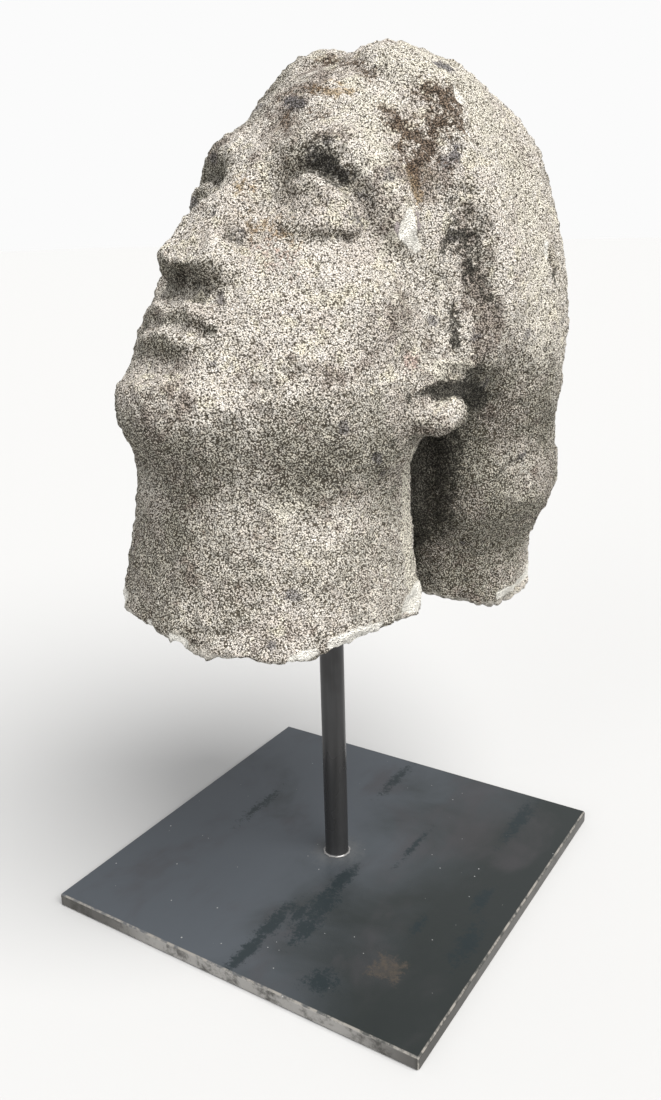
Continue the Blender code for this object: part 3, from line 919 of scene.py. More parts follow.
@dataclass
class StoneHead:
    """The stone itself, one closed skin that is bored for the rod."""

    grain: float = 0.56
    rounds: int = 3
    most_triangles: int = 198000
    relief: tuple[float, ...] = (0.2, 0.32, 0.3)
    relief_sizes: tuple[float, ...] = (3.1, 1.5, 0.8)
    pit_depth: float = 0.5
    pits_apart: float = 1.7
    pit_width: float = 0.45
    smooth_by_rod: float = 0.003
    feeler: float = 0.12
    least_slope: float = 0.3
    hollow_reach: tuple[float, ...] = (0.9, 2.2, 4.5)
    # Surfaces that face this way, up and towards the key light, come out lightest: weathering and
    # painted light.
    sky_and_light: Place = (0.5, -0.1, 0.85)
    torn_height: float = 2.4
    torn_share: float = 1.2

    def build(self, solid: bpy.types.Object) -> bpy.types.Object:
        """Carves the stone over its frame solid.

        Args:
            solid: The frame's stone.

        Returns:
            The carved piece, in its place.
        """
        stone = self.skin(solid)
        mesh = stone.data
        points = read(mesh.vertices, "co")
        points = self.pressed(points, read_edges(mesh))
        write(mesh.vertices, "co", points)
        mesh.update()
        normals = read(mesh.vertex_normals, "vector")
        self.paint(mesh, points, normals)
        points += normals * self.weathered(points)[:, None]
        write(mesh.vertices, "co", points)
        self.thin_out(stone)
        stone.data.transform(BUST_PLACE @ Matrix.Scale(HUNDREDTH, 4))
        stone.data.shade_smooth()
        stone.data.update()
        return stone

    def thin_out(self, stone: bpy.types.Object) -> None:
        """Takes faces out where the stone is smoothest.

        Args:
            stone: The stone, which keeps its forms and its attributes.
        """
        triangles = sum(len(face.vertices) - 2 for face in stone.data.polygons)
        fewer = stone.modifiers.new("fewer_faces", "DECIMATE")
        fewer.ratio = min(1.0, self.most_triangles / triangles)
        applied(stone)

    def skin(self, solid: bpy.types.Object) -> bpy.types.Object:
        """Wraps the frame solid in one even skin of small faces.

        Args:
            solid: The frame's stone.

        Returns:
            The skin, in the bust's frame and in hundredths.
        """
        shaping = bmesh.new()
        shaping.from_mesh(solid.data)
        bmesh.ops.remove_doubles(shaping, verts=shaping.verts, dist=MERGED)
        to_bust = Matrix.Scale(1 / HUNDREDTH, 4) @ BUST_PLACE.inverted()
        bmesh.ops.transform(shaping, matrix=to_bust, verts=shaping.verts)
        stone = new_object("weathered_stone", shaping)
        remesh = stone.modifiers.new("grain", "REMESH")
        remesh.mode = "VOXEL"
        remesh.voxel_size = self.grain
        applied(stone)
        return stone

    def pressed(self, points: np.ndarray, edges: np.ndarray) -> np.ndarray:
        """Evens out the skin and moves each point of it onto the carved surface.

        Args:
            points: The skin's points.
            edges: The two ends of each of its edges.

        Returns:
            The moved points.
        """
        one, other = edges.T
        count = np.bincount(edges.ravel(), minlength=len(points))[:, None]
        step = self.feeler
        feelers = np.array(((1, 1, 1), (1, -1, -1), (-1, 1, -1), (-1, -1, 1))) * step
        for _ in range(self.rounds):
            total = np.zeros_like(points)
            for axis in range(3):
                total[:, axis] += np.bincount(one, points[other, axis], len(points))
                total[:, axis] += np.bincount(other, points[one, axis], len(points))
            points = points + (total / count - points) / 2
            felt = [stone_distance(points + feeler) for feeler in feelers]
            out = sum(f[:, None] * feeler for f, feeler in zip(felt, feelers)) / (2 * step) ** 2
            slope = np.maximum((out**2).sum(axis=1), self.least_slope)
            move = -sum(felt) / len(felt) / slope
            points += out * np.clip(move, -2 * self.grain, 2 * self.grain)[:, None]
        return points

    def weathered(self, points: np.ndarray) -> np.ndarray:
        """Makes the coarse grain and the pits.

        Args:
            points: The carved points.

        Returns:
            How far each is moved outwards.
        """
        height = np.zeros(len(points))
        for seed, (high, size) in enumerate(zip(self.relief, self.relief_sizes), Seed.GRAIN):
            height += high * ripples(points, size, seed)
        near = pits(points, self.pits_apart, Seed.PITS)
        height -= self.pit_depth * np.clip(1 - near / self.pit_width, 0, 1)
        axis = np.linalg.norm(points[:, :2] - np.array(ROD_SPOT), axis=1)
        away = axis * HUNDREDTH - ROD_DIAMETER / 2
        return height * np.clip(away / self.smooth_by_rod - 0.5, 0, 1)

    def paint(self, mesh: bpy.types.Mesh, points: np.ndarray, normals: np.ndarray) -> None:
        """Marks where the stone is stained, chipped and broken, how closed in it is, and how it
        faces the sky and the key light.

        Args:
            mesh: The skin.
            points: Its points, in the bust's frame.
            normals: Which way it faces at each.
        """
        for tint, marks in MARKS.items():
            give(mesh, tint.value, np.max([mark.shares(points) for mark in marks], axis=0))
        # Painted shade and grime: how closed in each point is by the stone around it.
        hollow_shade_and_grime = np.zeros(len(points))
        for reach in self.hollow_reach:
            felt = stone_distance(points + normals * reach)
            hollow_shade_and_grime += np.clip(1 - felt / reach, -1, 1) / len(self.hollow_reach)
        give(mesh, "hollow_shade_and_grime", hollow_shade_and_grime)
        # Weathering and painted light: how far each point faces up and towards the key light.
        turned = normals @ np.array(BUST_PLACE)[:3, :3].T
        give(mesh, "facing_sky_and_light", turned @ np.array(self.sky_and_light))
        torn = self.torn_share - over_break(points) / self.torn_height
        give(mesh, "broken", np.clip(torn, 0, 1))


def read(items: bpy.types.bpy_prop_collection, name: str) -> np.ndarray:
    """Reads a triple of numbers from each item.

    Args:
        items: The items.
        name: Which of their values.

    Returns:
        One row to an item.
    """
    flat = np.empty(len(items) * 3, np.float32)
    items.foreach_get(name, flat)
    return flat.reshape(-1, 3).astype(float)


def read_edges(mesh: bpy.types.Mesh) -> np.ndarray:
    """Reads a mesh's edges.

    Args:
        mesh: The mesh.

    Returns:
        The two ends of each.
    """
    flat = np.empty(len(mesh.edges) * 2, np.int32)
    mesh.edges.foreach_get("vertices", flat)
    return flat.reshape(-1, 2)


def write(items: bpy.types.bpy_prop_collection, name: str, rows: np.ndarray) -> None:
    """Writes a row of numbers to each item.

    Args:
        items: The items.
        name: Which of their values.
        rows: One row to an item.
    """
    items.foreach_set(name, rows.astype(np.float32).ravel())


def applied(piece: bpy.types.Object) -> None:
    """Makes what a piece's modifiers show its own mesh.

    Args:
        piece: The piece.
    """
    graph = bpy.context.evaluated_depsgraph_get()
    shown = bpy.data.meshes.new_from_object(piece.evaluated_get(graph))
    piece.modifiers.clear()
    piece.data = shown


def give(mesh: bpy.types.Mesh, name: str, shares: np.ndarray) -> None:
    """Gives a mesh an attribute with one number to a point.

    Args:
        mesh: The mesh.
        name: The attribute's name.
        shares: Its numbers.
    """
    made = mesh.attributes.new(name, "FLOAT", "POINT")
    made.data.foreach_set("value", shares.astype(np.float32))


def new_object(name: str, shaping: bmesh.types.BMesh) -> bpy.types.Object:
    """Puts a finished bmesh in the scene.

    Args:
        name: The new object's name.
        shaping: The bmesh, which is freed.

    Returns:
        The object.
    """
    mesh = bpy.data.meshes.new(name)
    shaping.to_mesh(mesh)
    shaping.free()
    made = bpy.data.objects.new(name, mesh)
    bpy.context.scene.collection.objects.link(made)
    return made


@dataclass
class SupportRod:
    """The round bar that holds up the stone, with the weld around its foot."""

    diameter: float = ROD_DIAMETER
    foot: float = PLATE_THICKNESS + FIT_GAP
    top: float = ROD_TOP
    chamfer: float = 0.001
    weld_leg: float = 0.0015
    weld_steps: int = 6
    sides: int = 96
    rings_apart: float = 0.009
    weld_waver: float = 0.00025
    weld_beads: tuple[int, int] = (11, 23)
    sharp_angle: float = math.radians(40)

    def profile(self) -> list[tuple[float, float]]:
        """Draws the line that is spun.

        Returns:
            Radii and heights, from the axis at the foot to the axis at the top.
        """
        radius = self.diameter / 2
        line = [(0.0, self.foot)]
        for step in range(self.weld_steps + 1):
            angle = math.pi / 2 * step / self.weld_steps
            out = self.weld_leg * (1 - math.sin(angle))
            rise = self.weld_leg * (1 - math.cos(angle))
            line.append((radius + out, self.foot + rise))
        start, end = self.foot + self.weld_leg, self.top - self.chamfer
        rings = round((end - start) / self.rings_apart)
        line += [(radius, start + (end - start) * ring / rings) for ring in range(1, rings + 1)]
        return line + [(radius - self.chamfer, self.top), (0.0, self.top)]

    def build(self) -> bpy.types.Object:
        """Spins the rod and lets its weld waver.

        Returns:
            The rod, in its place.
        """
        lathe = bmesh.new()
        line = [lathe.verts.new((radius, 0, height)) for radius, height in self.profile()]
        edges = [lathe.edges.new(pair) for pair in zip(line, line[1:])]
        bmesh.ops.spin(
            lathe,
            geom=line + edges,
            cent=(0, 0, 0),
            axis=(0, 0, 1),
            angle=math.tau,
            steps=self.sides,
            use_merge=True,
        )
        bmesh.ops.remove_doubles(lathe, verts=lathe.verts, dist=MERGED)
        bmesh.ops.recalc_face_normals(lathe, faces=lathe.faces)
        few, many = self.weld_beads
        for point in lathe.verts:
            out = point.co.xy.length - self.diameter / 2
            if out > self.weld_leg / 100:
                turn = math.atan2(point.co.y, point.co.x)
                waver = math.sin(few * turn) + 0.6 * math.sin(many * turn + 1)
                share = out / self.weld_leg
                point.co.xy *= 1 + self.weld_waver * waver * share / point.co.xy.length
        rod = new_object("steel_rod", lathe)
        rod.data.shade_smooth()
        rod.data.set_sharp_from_angle(angle=self.sharp_angle)
        return rod


@dataclass(frozen=True)
class Clouds:
    """A cloudy pattern, with its number of clouds to a metre.

    The detail is how many finer sizes are laid over them, the roughness how strong those are and
    the distortion how far they are stirred. It can be stretched and shifted.
    """

    scale: float
    detail: float
    roughness: float
    distortion: float = 0.0
    stretch: Place | None = None
    shift: Place = (0.0, 0.0, 0.0)


@dataclass(frozen=True)
class Coat:
    """A colour laid over another. Its share goes from start to end as a signal rises.

    The signal rises from low to high, and the fray is how far a ragged pattern shifts the edge.
    """

    colour: Colour
    low: float
    high: float
    start: float = 0.0
    end: float = 1.0
    fray: float = 0.0


class Shading:
    """A material's nodes, with short ways to add and join them."""

    def __init__(self, name: str) -> None:
        """Begins an empty material.

        Args:
            name: Its name.
        """
        self.material = bpy.data.materials.new(name)
        self.material.use_nodes = True
        self.tree = self.material.node_tree
        self.shader = self.tree.nodes["Principled BSDF"]
        self.coordinates = self.tree.nodes.new("ShaderNodeTexCoord").outputs["Object"]

    def feed(self, socket: Socket, signal: Signal) -> None:
        """Sets a socket to a number or colour, or joins a signal to it.

        Args:
            socket: The socket.
            signal: What it gets.
        """
        if isinstance(signal, Socket):
            self.tree.links.new(signal, socket)
        elif isinstance(signal, tuple):
            socket.default_value = (*signal, 1.0)
        else:
            socket.default_value = signal

    def node(self, kind: str, **inputs: Signal) -> bpy.types.Node:
        """Adds a node.

        Args:
            kind: The sort of node.
            inputs: What its inputs get, under their names in small letters.

        Returns:
            The node.
        """
        node = self.tree.nodes.new(kind)
        for name, signal in inputs.items():
            self.feed(node.inputs[name.replace("_", " ").title()], signal)
        return node

    def attribute(self, name: str) -> Socket:
        """Reads one of the mesh's own attributes.

        Args:
            name: The attribute's name.

        Returns:
            Its value.
        """
        node = self.node("ShaderNodeAttribute")
        node.attribute_name = name
        return node.outputs["Fac"]

    def scaled(self, stretch: Place, shift: Place = (0.0, 0.0, 0.0)) -> Socket:
        """Stretches and shifts the coordinates.

        Args:
            stretch: How many times finer the pattern is along each axis.
            shift: How far it is moved, in metres.

        Returns:
            The new coordinates.
        """
        node = self.node("ShaderNodeMapping", vector=self.coordinates)
        node.inputs["Scale"].default_value = stretch
        node.inputs["Location"].default_value = shift
        return node.outputs["Vector"]

    def noise(self, clouds: Clouds) -> Socket:
        """Adds a cloudy pattern.

        Args:
            clouds: The pattern.

        Returns:
            Its value, about a half on average.
        """
        start = self.coordinates
        if clouds.stretch:
            start = self.scaled(clouds.stretch, clouds.shift)
        node = self.node(
            "ShaderNodeTexNoise",
            vector=start,
            scale=clouds.scale,
            detail=clouds.detail,
            roughness=clouds.roughness,
            distortion=clouds.distortion,
        )
        return node.outputs["Fac"]

    def cells(self, scale: float) -> Socket:
        """Adds a scatter of points.

        Args:
            scale: How many points there are to a metre.

        Returns:
            The distance to the next point, as a share of the distance between points.
        """
        node = self.node("ShaderNodeTexVoronoi", vector=self.coordinates, scale=scale)
        return node.outputs["Distance"]

    def centred(self, cloudy: Socket) -> Socket:
        """A cloudy pattern about nought in place of a half."""
        return self.maths("SUBTRACT", cloudy, 0.5)

    def axis(self, name: str) -> Socket:
        """Reads one of the object's coordinates.

        Args:
            name: X, Y or Z.

        Returns:
            The coordinate, in metres.
        """
        return self.node("ShaderNodeSeparateXYZ", vector=self.coordinates).outputs[name]

    def length(self, place: Socket) -> Socket:
        """Measures how far a place is from the origin.

        Args:
            place: The place's coordinates.

        Returns:
            The distance.
        """
        node = self.node("ShaderNodeVectorMath", vector=place)
        node.operation = "LENGTH"
        return node.outputs["Value"]

    def plus(self, base: Signal, extra: Signal, share: float) -> Socket:
        """One signal and a share of another."""
        return self.maths("MULTIPLY_ADD", extra, share, base)

    def times(self, first: Signal, second: Signal) -> Socket:
        """The product of two signals."""
        return self.maths("MULTIPLY", first, second)

    def maths(self, kind: str, *signals: Signal) -> Socket:
        """Works out a sum.

        Args:
            kind: The sort of sum.
            signals: What goes into it.

        Returns:
            The result.
        """
        node = self.node("ShaderNodeMath")
        node.operation = kind
        for socket, signal in zip(node.inputs, signals):
            self.feed(socket, signal)
        return node.outputs[0]

    def step(
        self, signal: Signal, low: float, high: float, start: float = 0.0, end: float = 1.0
    ) -> Socket:
        """Turns a signal into a soft step.

        Args:
            signal: The signal.
            low: Where the step begins.
            high: Where it ends.
            start: Its value before the step.
            end: Its value after it.

        Returns:
            The step.
        """
        node = self.node(
            "ShaderNodeMapRange",
            value=signal,
            from_min=low,
            from_max=high,
            to_min=start,
            to_max=end,
        )
        node.interpolation_type = "SMOOTHSTEP"
        return node.outputs["Result"]

    def mix(self, share: Signal, first: Signal, second: Signal, kind: str = "MIX") -> Socket:
        """Mixes two colours.

        Args:
            share: How much of the second there is.
            first: The first colour.
            second: The second.
            kind: How they are mixed.

        Returns:
            The colour.
        """
        node = self.node("ShaderNodeMix")
        node.data_type = "RGBA"
        node.blend_type = kind
        self.feed(node.inputs[0], share)
        self.feed(node.inputs[6], first)
        self.feed(node.inputs[7], second)
        return node.outputs[2]

    def cover(self, coat: Coat, signal: Signal) -> Socket:
        """A coat's share of the colour, by a signal."""
        return self.step(signal, coat.low, coat.high, coat.start, coat.end)

    def lay(
        self, colour: Signal, coat: Coat, signal: Signal, ragged: Socket | None = None
    ) -> Socket:
        """Lays a coat over a colour.

        Args:
            colour: The colour.
            coat: The coat.
            signal: What says where it lies.
            ragged: A pattern about nought that frays its edge.

        Returns:
            The new colour.
        """
        if ragged is not None:
            signal = self.plus(signal, ragged, coat.fray)
        return self.mix(self.cover(coat, signal), colour, coat.colour)

    def bump(self, height: Signal, depth: float, under: Signal | None = None) -> Socket:
        """Raises the surface by a height.

        Args:
            height: The height, between nought and one.
            depth: How deep that is, in metres.
            under: A coarser surface that it lies on.

        Returns:
            The way that the raised surface faces.
        """
        node = self.node("ShaderNodeBump", distance=depth, height=height)
        if under is not None:
            self.feed(node.inputs["Normal"], under)
        return node.outputs["Normal"]

    def done(self, colour: Signal, roughness: Signal, normal: Signal) -> bpy.types.Material:
        """Joins the signals to the shader.

        Args:
            colour: The colour.
            roughness: How dull it is.
            normal: Which way it faces.

        Returns:
            The finished material.
        """
        self.feed(self.shader.inputs["Base Color"], colour)
        self.feed(self.shader.inputs["Roughness"], roughness)
        self.feed(self.shader.inputs["Normal"], normal)
        return self.material


@dataclass(frozen=True)
class Stain:
    """A stain's colour, its greatest share of it and how much it soils the gaps between grains.

    One that fills the gaps soils them to that degree, and the others add to what is there.
    """

    tint: Tint
    colour: Colour
    most: float
    soiling: float
    fills: bool = False


@dataclass(frozen=True)
class WeatheredStone:
    """Coarse pale stone, bleached above and grey below, partly as painted light and shade, and
    stained.
    """

    # clean and dull are the two ends of the mix of dirt and painted shade.
    clean: Colour = (0.985, 0.93, 0.86)
    dull: Colour = (0.575, 0.55, 0.465)
    # The colour of painted shade and grime.
    shade_and_grime: Colour = (0.105, 0.098, 0.074)
    slate: Colour = (0.25, 0.235, 0.245)
    pit: Colour = (0.1, 0.088, 0.068)
    crest: Colour = (1.0, 1.0, 1.0)
    blush: Coat = Coat((0.77, 0.7, 0.64), 0.48, 0.62, 0.0, 0.6)
    crust: Coat = Coat((0.98, 0.925, 0.77), 0.5, 0.62, 0.0, 0.8)
    mottle: Coat = Coat((0.36, 0.285, 0.245), 0.54, 0.66, 0.0, 0.65)
    cream: Coat = Coat((1.0, 0.95, 0.87), 0.35, 0.65, 0.0, 0.5)
    spot: Coat = Coat(slate, 0.06, 0.14, 0.7, 0.0)
    # Painted shade and grime in the hollows.
    hollow_shade_and_grime: Coat = Coat(shade_and_grime, 0.2, 0.65, 0.0, 0.7, fray=0.3)
    broken: Coat = Coat((0.62, 0.585, 0.52), 0.72, 1.05, 0.0, 0.8, fray=0.6)
    fresh: Coat = Coat((0.98, 0.95, 0.87), 0.3, 0.6, fray=0.35)
    vein: Coat = Coat((0.36, 0.31, 0.31), 0.35, 0.65, 0.0, 0.9, fray=0.3)
    broad: Clouds = Clouds(14, 3, 0.55)
    patches: Clouds = Clouds(48, 4, 0.6)
    blushes: Clouds = Clouds(33, 4, 0.65, stretch=(1, 1, 1), shift=(3.1, 0.7, 1.9))
    crusts: Clouds = Clouds(80, 4, 0.6, stretch=(1, 1, 1), shift=(0.4, 2.2, 5.3))
    mottles: Clouds = Clouds(26, 5, 0.7, stretch=(1, 1, 1), shift=(1.7, 4.1, 0.2))
    creams: Clouds = Clouds(380, 2, 0.6)
    spots: float = 27.0
    flecks: Clouds = Clouds(150, 3, 0.65)
    clumps: Clouds = Clouds(400, 2, 0.5)
    grains: Clouds = Clouds(960, 1, 0.6)
    dust: Clouds = Clouds(1800, 0, 0.5)
    crystals: float = 930.0
    crystal_size: float = 0.52
    crystal_share: float = 1.8
    grain_share: float = 1.6
    dust_share: float = 0.9
    clump_share: float = 0.4
    dirt_and_shade: float = 0.66
    dirt_and_shade_by_facing: float = -0.72
    dirt_by_clouds: float = 0.9
    dirt_by_flecks: float = 0.6
    dirt_by_shade_and_soot: float = 0.6
    most_dirt_and_shade: float = 1.05
    crust_by_dirt_and_shade: float = -0.22
    mottle_by_mark: float = 0.1
    mottle_by_flecks: float = 0.25
    mottle_soiling: float = 0.9
    spot_by_flecks: float = -0.5
    raggedness: float = 1.3
    stain_edge: tuple[float, float] = (0.25, 0.8)
    gaps: tuple[float, float] = (-0.18, 0.88)
    middle: float = 0.3
    # Where the grain's contrast rises for painted shade, by how the stone faces the sky and the key
    # light.
    facing_span: tuple[float, float] = (0.1, 0.8)
    shaded_contrast: float = 1.6
    soiling: float = 0.34
    filled: float = 1.25
    dullness: float = 0.92
    depth: float = 0.0009
    stains: tuple[Stain, ...] = (
        Stain(Tint.PINK, (0.70, 0.47, 0.41), 0.7, 0.0),
        Stain(Tint.BLEACHED, (0.96, 0.905, 0.775), 0.95, -0.6),
        Stain(Tint.OCHRE, (0.56, 0.39, 0.20), 0.75, 0.2),
        Stain(Tint.SLATE, slate, 0.9, 0.3),
        Stain(Tint.RUST, (0.24, 0.155, 0.095), 0.9, filled, fills=True),
        # Painted shade and grime in the recesses, grooves and cracks.
        Stain(Tint.SHADE_AND_GRIME, shade_and_grime, 0.9, filled, fills=True),
    )

    def material(self) -> bpy.types.Material:
        """Mixes the stone's material.

        Returns:
            The material.
        """
        paint = Shading("weathered_stone")
        clumps = paint.centred(paint.noise(self.clumps))
        flecks = paint.centred(paint.noise(self.flecks))
        ragged = paint.times(flecks, self.raggedness)
        ragged = paint.plus(ragged, clumps, self.raggedness)
        height = self.relief(paint, clumps)
        colour, soiled_and_shaded = self.weathering(paint, flecks)
        colour, soiled_and_shaded = self.stained(paint, colour, soiled_and_shaded, ragged)
        # The gaps between grains darken with soiling and with painted shade.
        salt = paint.plus(height, soiled_and_shaded, -self.soiling)
        # Painted shade: the grain has darker gaps and lighter crests where the stone faces away
        # from the sky and the key light.
        contrast_in_shade = paint.step(paint.attribute("facing_sky_and_light"), *self.facing_span, self.shaded_contrast, 1)
        salt = paint.maths("SUBTRACT", salt, self.middle)
        salt = paint.maths("MULTIPLY_ADD", salt, contrast_in_shade, self.middle)
        shade = paint.mix(paint.step(salt, *self.gaps), self.pit, self.crest)
        colour = paint.mix(1.0, colour, shade, "MULTIPLY")
        colour = self.breaks(paint, colour, ragged)
        under = paint.bump(clumps, self.depth * 2)
        return paint.done(colour, self.dullness, paint.bump(height, self.depth, under))

    def relief(self, paint: Shading, clumps: Socket) -> Socket:
        """Heaps the crystals and grains that stand out of the surface.

        Args:
            paint: The material's nodes.
            clumps: Where grains stand together, about nought.

        Returns:
            Their height, about a half on average.
        """
        crystals = paint.maths("SUBTRACT", self.crystal_size, paint.cells(self.crystals))
        layers = (
            (crystals, self.crystal_share),
            (paint.centred(paint.noise(self.grains)), self.grain_share),
            (paint.centred(paint.noise(self.dust)), self.dust_share),
            (clumps, self.clump_share),
        )
        height = 0.5
        for layer, share in layers:
            height = paint.plus(height, layer, share)
        return height

    def weathering(self, paint: Shading, flecks: Socket) -> tuple[Socket, Socket]:
        """Lightens what faces up and towards the key light and greys the rest, as weathering and as
        painted light and shade.

        Args:
            paint: The material's nodes.
            flecks: A fine pattern about nought.

        Returns:
            The colour, and how dark the gaps between grains are, from soiling and painted shade.
        """
        layers = (
            # Facing away from the sky and the key light greys the stone: weathering and painted
            # shade.
            (paint.attribute("facing_sky_and_light"), self.dirt_and_shade_by_facing),
            (paint.centred(paint.noise(self.broad)), self.dirt_by_clouds),
            (paint.centred(paint.noise(self.patches)), self.dirt_by_clouds),
            (flecks, self.dirt_by_flecks),
            # The soot marks darken the stone as painted shade and grey weathering.
            (paint.attribute(Tint.SHADE_AND_SOOT.value), self.dirt_by_shade_and_soot),
        )
        dirt_and_shade = self.dirt_and_shade
        for layer, share in layers:
            dirt_and_shade = paint.plus(dirt_and_shade, layer, share)
        dirt_and_shade = paint.step(dirt_and_shade, 0.0, self.most_dirt_and_shade)
        colour = paint.mix(dirt_and_shade, self.clean, self.dull)
        colour = paint.lay(colour, self.blush, paint.noise(self.blushes))
        crusted = paint.plus(paint.noise(self.crusts), dirt_and_shade, self.crust_by_dirt_and_shade)
        colour = paint.lay(colour, self.crust, crusted)
        marked = paint.attribute(Tint.MOTTLED.value)
        mottled = paint.plus(paint.noise(self.mottles), marked, self.mottle_by_mark)
        mottled = paint.plus(mottled, flecks, self.mottle_by_flecks)
        mottled = paint.cover(self.mottle, mottled)
        colour = paint.mix(mottled, colour, self.mottle.colour)
        soiled_and_shaded = paint.maths("MAXIMUM", dirt_and_shade, paint.times(mottled, self.mottle_soiling))
        creamy = paint.cover(self.cream, paint.noise(self.creams))
        colour = paint.mix(creamy, colour, self.cream.colour, "MULTIPLY")
        spots = paint.plus(paint.cells(self.spots), flecks, self.spot_by_flecks)
        return paint.lay(colour, self.spot, spots), soiled_and_shaded

    def stained(
        self, paint: Shading, colour: Socket, soiled_and_shaded: Socket, ragged: Socket
    ) -> tuple[Socket, Socket]:
        """Lays on the stains, then the painted shade and soiling of the recesses and crannies.

        Args:
            paint: The material's nodes.
            colour: The colour under them.
            soiled_and_shaded: How dark the gaps between grains are, from soiling and painted shade.
            ragged: A pattern about nought that frays their edges.

        Returns:
            The new colour, and the new darkness of the gaps.
        """
        for stain in self.stains:
            marked = paint.maths("ADD", paint.attribute(stain.tint.value), ragged)
            share = paint.step(marked, *self.stain_edge, 0.0, stain.most)
            colour = paint.mix(share, colour, stain.colour)
            if stain.fills:
                soiled_and_shaded = paint.maths("MAXIMUM", soiled_and_shaded, paint.times(share, stain.soiling))
            else:
                soiled_and_shaded = paint.plus(soiled_and_shaded, share, stain.soiling)
        # Painted shade and grime in the hollows, less where the stone is bleached.
        hollow_shade_and_grime = paint.plus(paint.attribute("hollow_shade_and_grime"), ragged, self.hollow_shade_and_grime.fray)
        washed = paint.attribute(Tint.BLEACHED.value)
        hollow_shade_and_grime = paint.cover(self.hollow_shade_and_grime, paint.plus(hollow_shade_and_grime, washed, -1.0))
        colour = paint.mix(hollow_shade_and_grime, colour, self.hollow_shade_and_grime.colour)
        return colour, paint.maths("MAXIMUM", soiled_and_shaded, paint.times(hollow_shade_and_grime, self.filled))

    def breaks(self, paint: Shading, colour: Socket, ragged: Socket) -> Socket:
        """Colours the broken underside and the fresh chips.

        Args:
            paint: The material's nodes.
            colour: The colour of the rest.
            ragged: A pattern about nought that frays their edges.

        Returns:
            The new colour.
        """
        colour = paint.lay(colour, self.broken, paint.attribute("broken"), ragged)
        colour = paint.lay(colour, self.fresh, paint.attribute(Tint.FRESH.value), ragged)
        return paint.lay(colour, self.vein, paint.attribute(Tint.VEIN.value), ragged)


@dataclass(frozen=True)
class DarkRodSteel:
    """Dark drawn steel with worn blotches and a painted sheen low down, dusty by the stone. Heights
    in metres.
    """

    dark: Colour = (0.026, 0.025, 0.024)
    # Also the colour of the painted sheen towards the foot.
    rubbed_and_sheen: Colour = (0.060, 0.060, 0.061)
    dust: Colour = (0.42, 0.40, 0.36)
    blotch: Coat = Coat(rubbed_and_sheen, 0.35, 0.65)
    soot: Coat = Coat((0.020, 0.019, 0.020), 0.4, 0.75, 0.0, 0.35)
    # Painted sheen: the rod is paler towards its foot.
    foot_sheen: Coat = Coat(rubbed_and_sheen, 0.06, 0.2, 0.75, 0.0, fray=0.12)
    weld: Coat = Coat((0.62, 0.61, 0.60), 0.0106, 0.0111, 0.5, 0.0)
    drawn: Clouds = Clouds(700, 2, 0.5, stretch=(1, 1, 0.02))
    blotches: Clouds = Clouds(34, 3, 0.55, stretch=(1, 1, 0.5))
    specks: Clouds = Clouds(420, 3, 0.7)
    speck_edge: tuple[float, float] = (0.5, 0.64)
    dusty_heights: tuple[float, float] = (0.205, 0.236)
    sheen: Ramp = (0.3, 0.7, 0.24, 0.36)
    metallic: float = 0.5
    depth: float = 0.00002

    def material(self) -> bpy.types.Material:
        """Mixes the rod's material.

        Returns:
            The material.
        """
        paint = Shading("dark_rod_steel")
        drawn, blotches = paint.noise(self.drawn), paint.noise(self.blotches)
        colour = paint.lay(self.dark, self.blotch, blotches)
        colour = paint.lay(colour, self.soot, drawn)
        height = paint.axis("Z")
        # Painted sheen towards the foot.
        colour = paint.lay(colour, self.foot_sheen, height, paint.centred(blotches))
        colour = paint.lay(colour, self.weld, height)
        near_stone = paint.step(height, *self.dusty_heights)
        specks = paint.step(paint.noise(self.specks), *self.speck_edge)
        colour = paint.mix(paint.times(near_stone, specks), colour, self.dust)
        paint.shader.inputs["Metallic"].default_value = self.metallic
        rough = paint.step(blotches, *self.sheen)
        return paint.done(colour, rough, paint.bump(drawn, self.depth))


@dataclass(frozen=True)
class Etched:
    """A dark patch on the plate, longer the way that the plate was rolled."""

    across: float
    along: float
    half_width: float
    half_length: float
    strength: float = 1.0


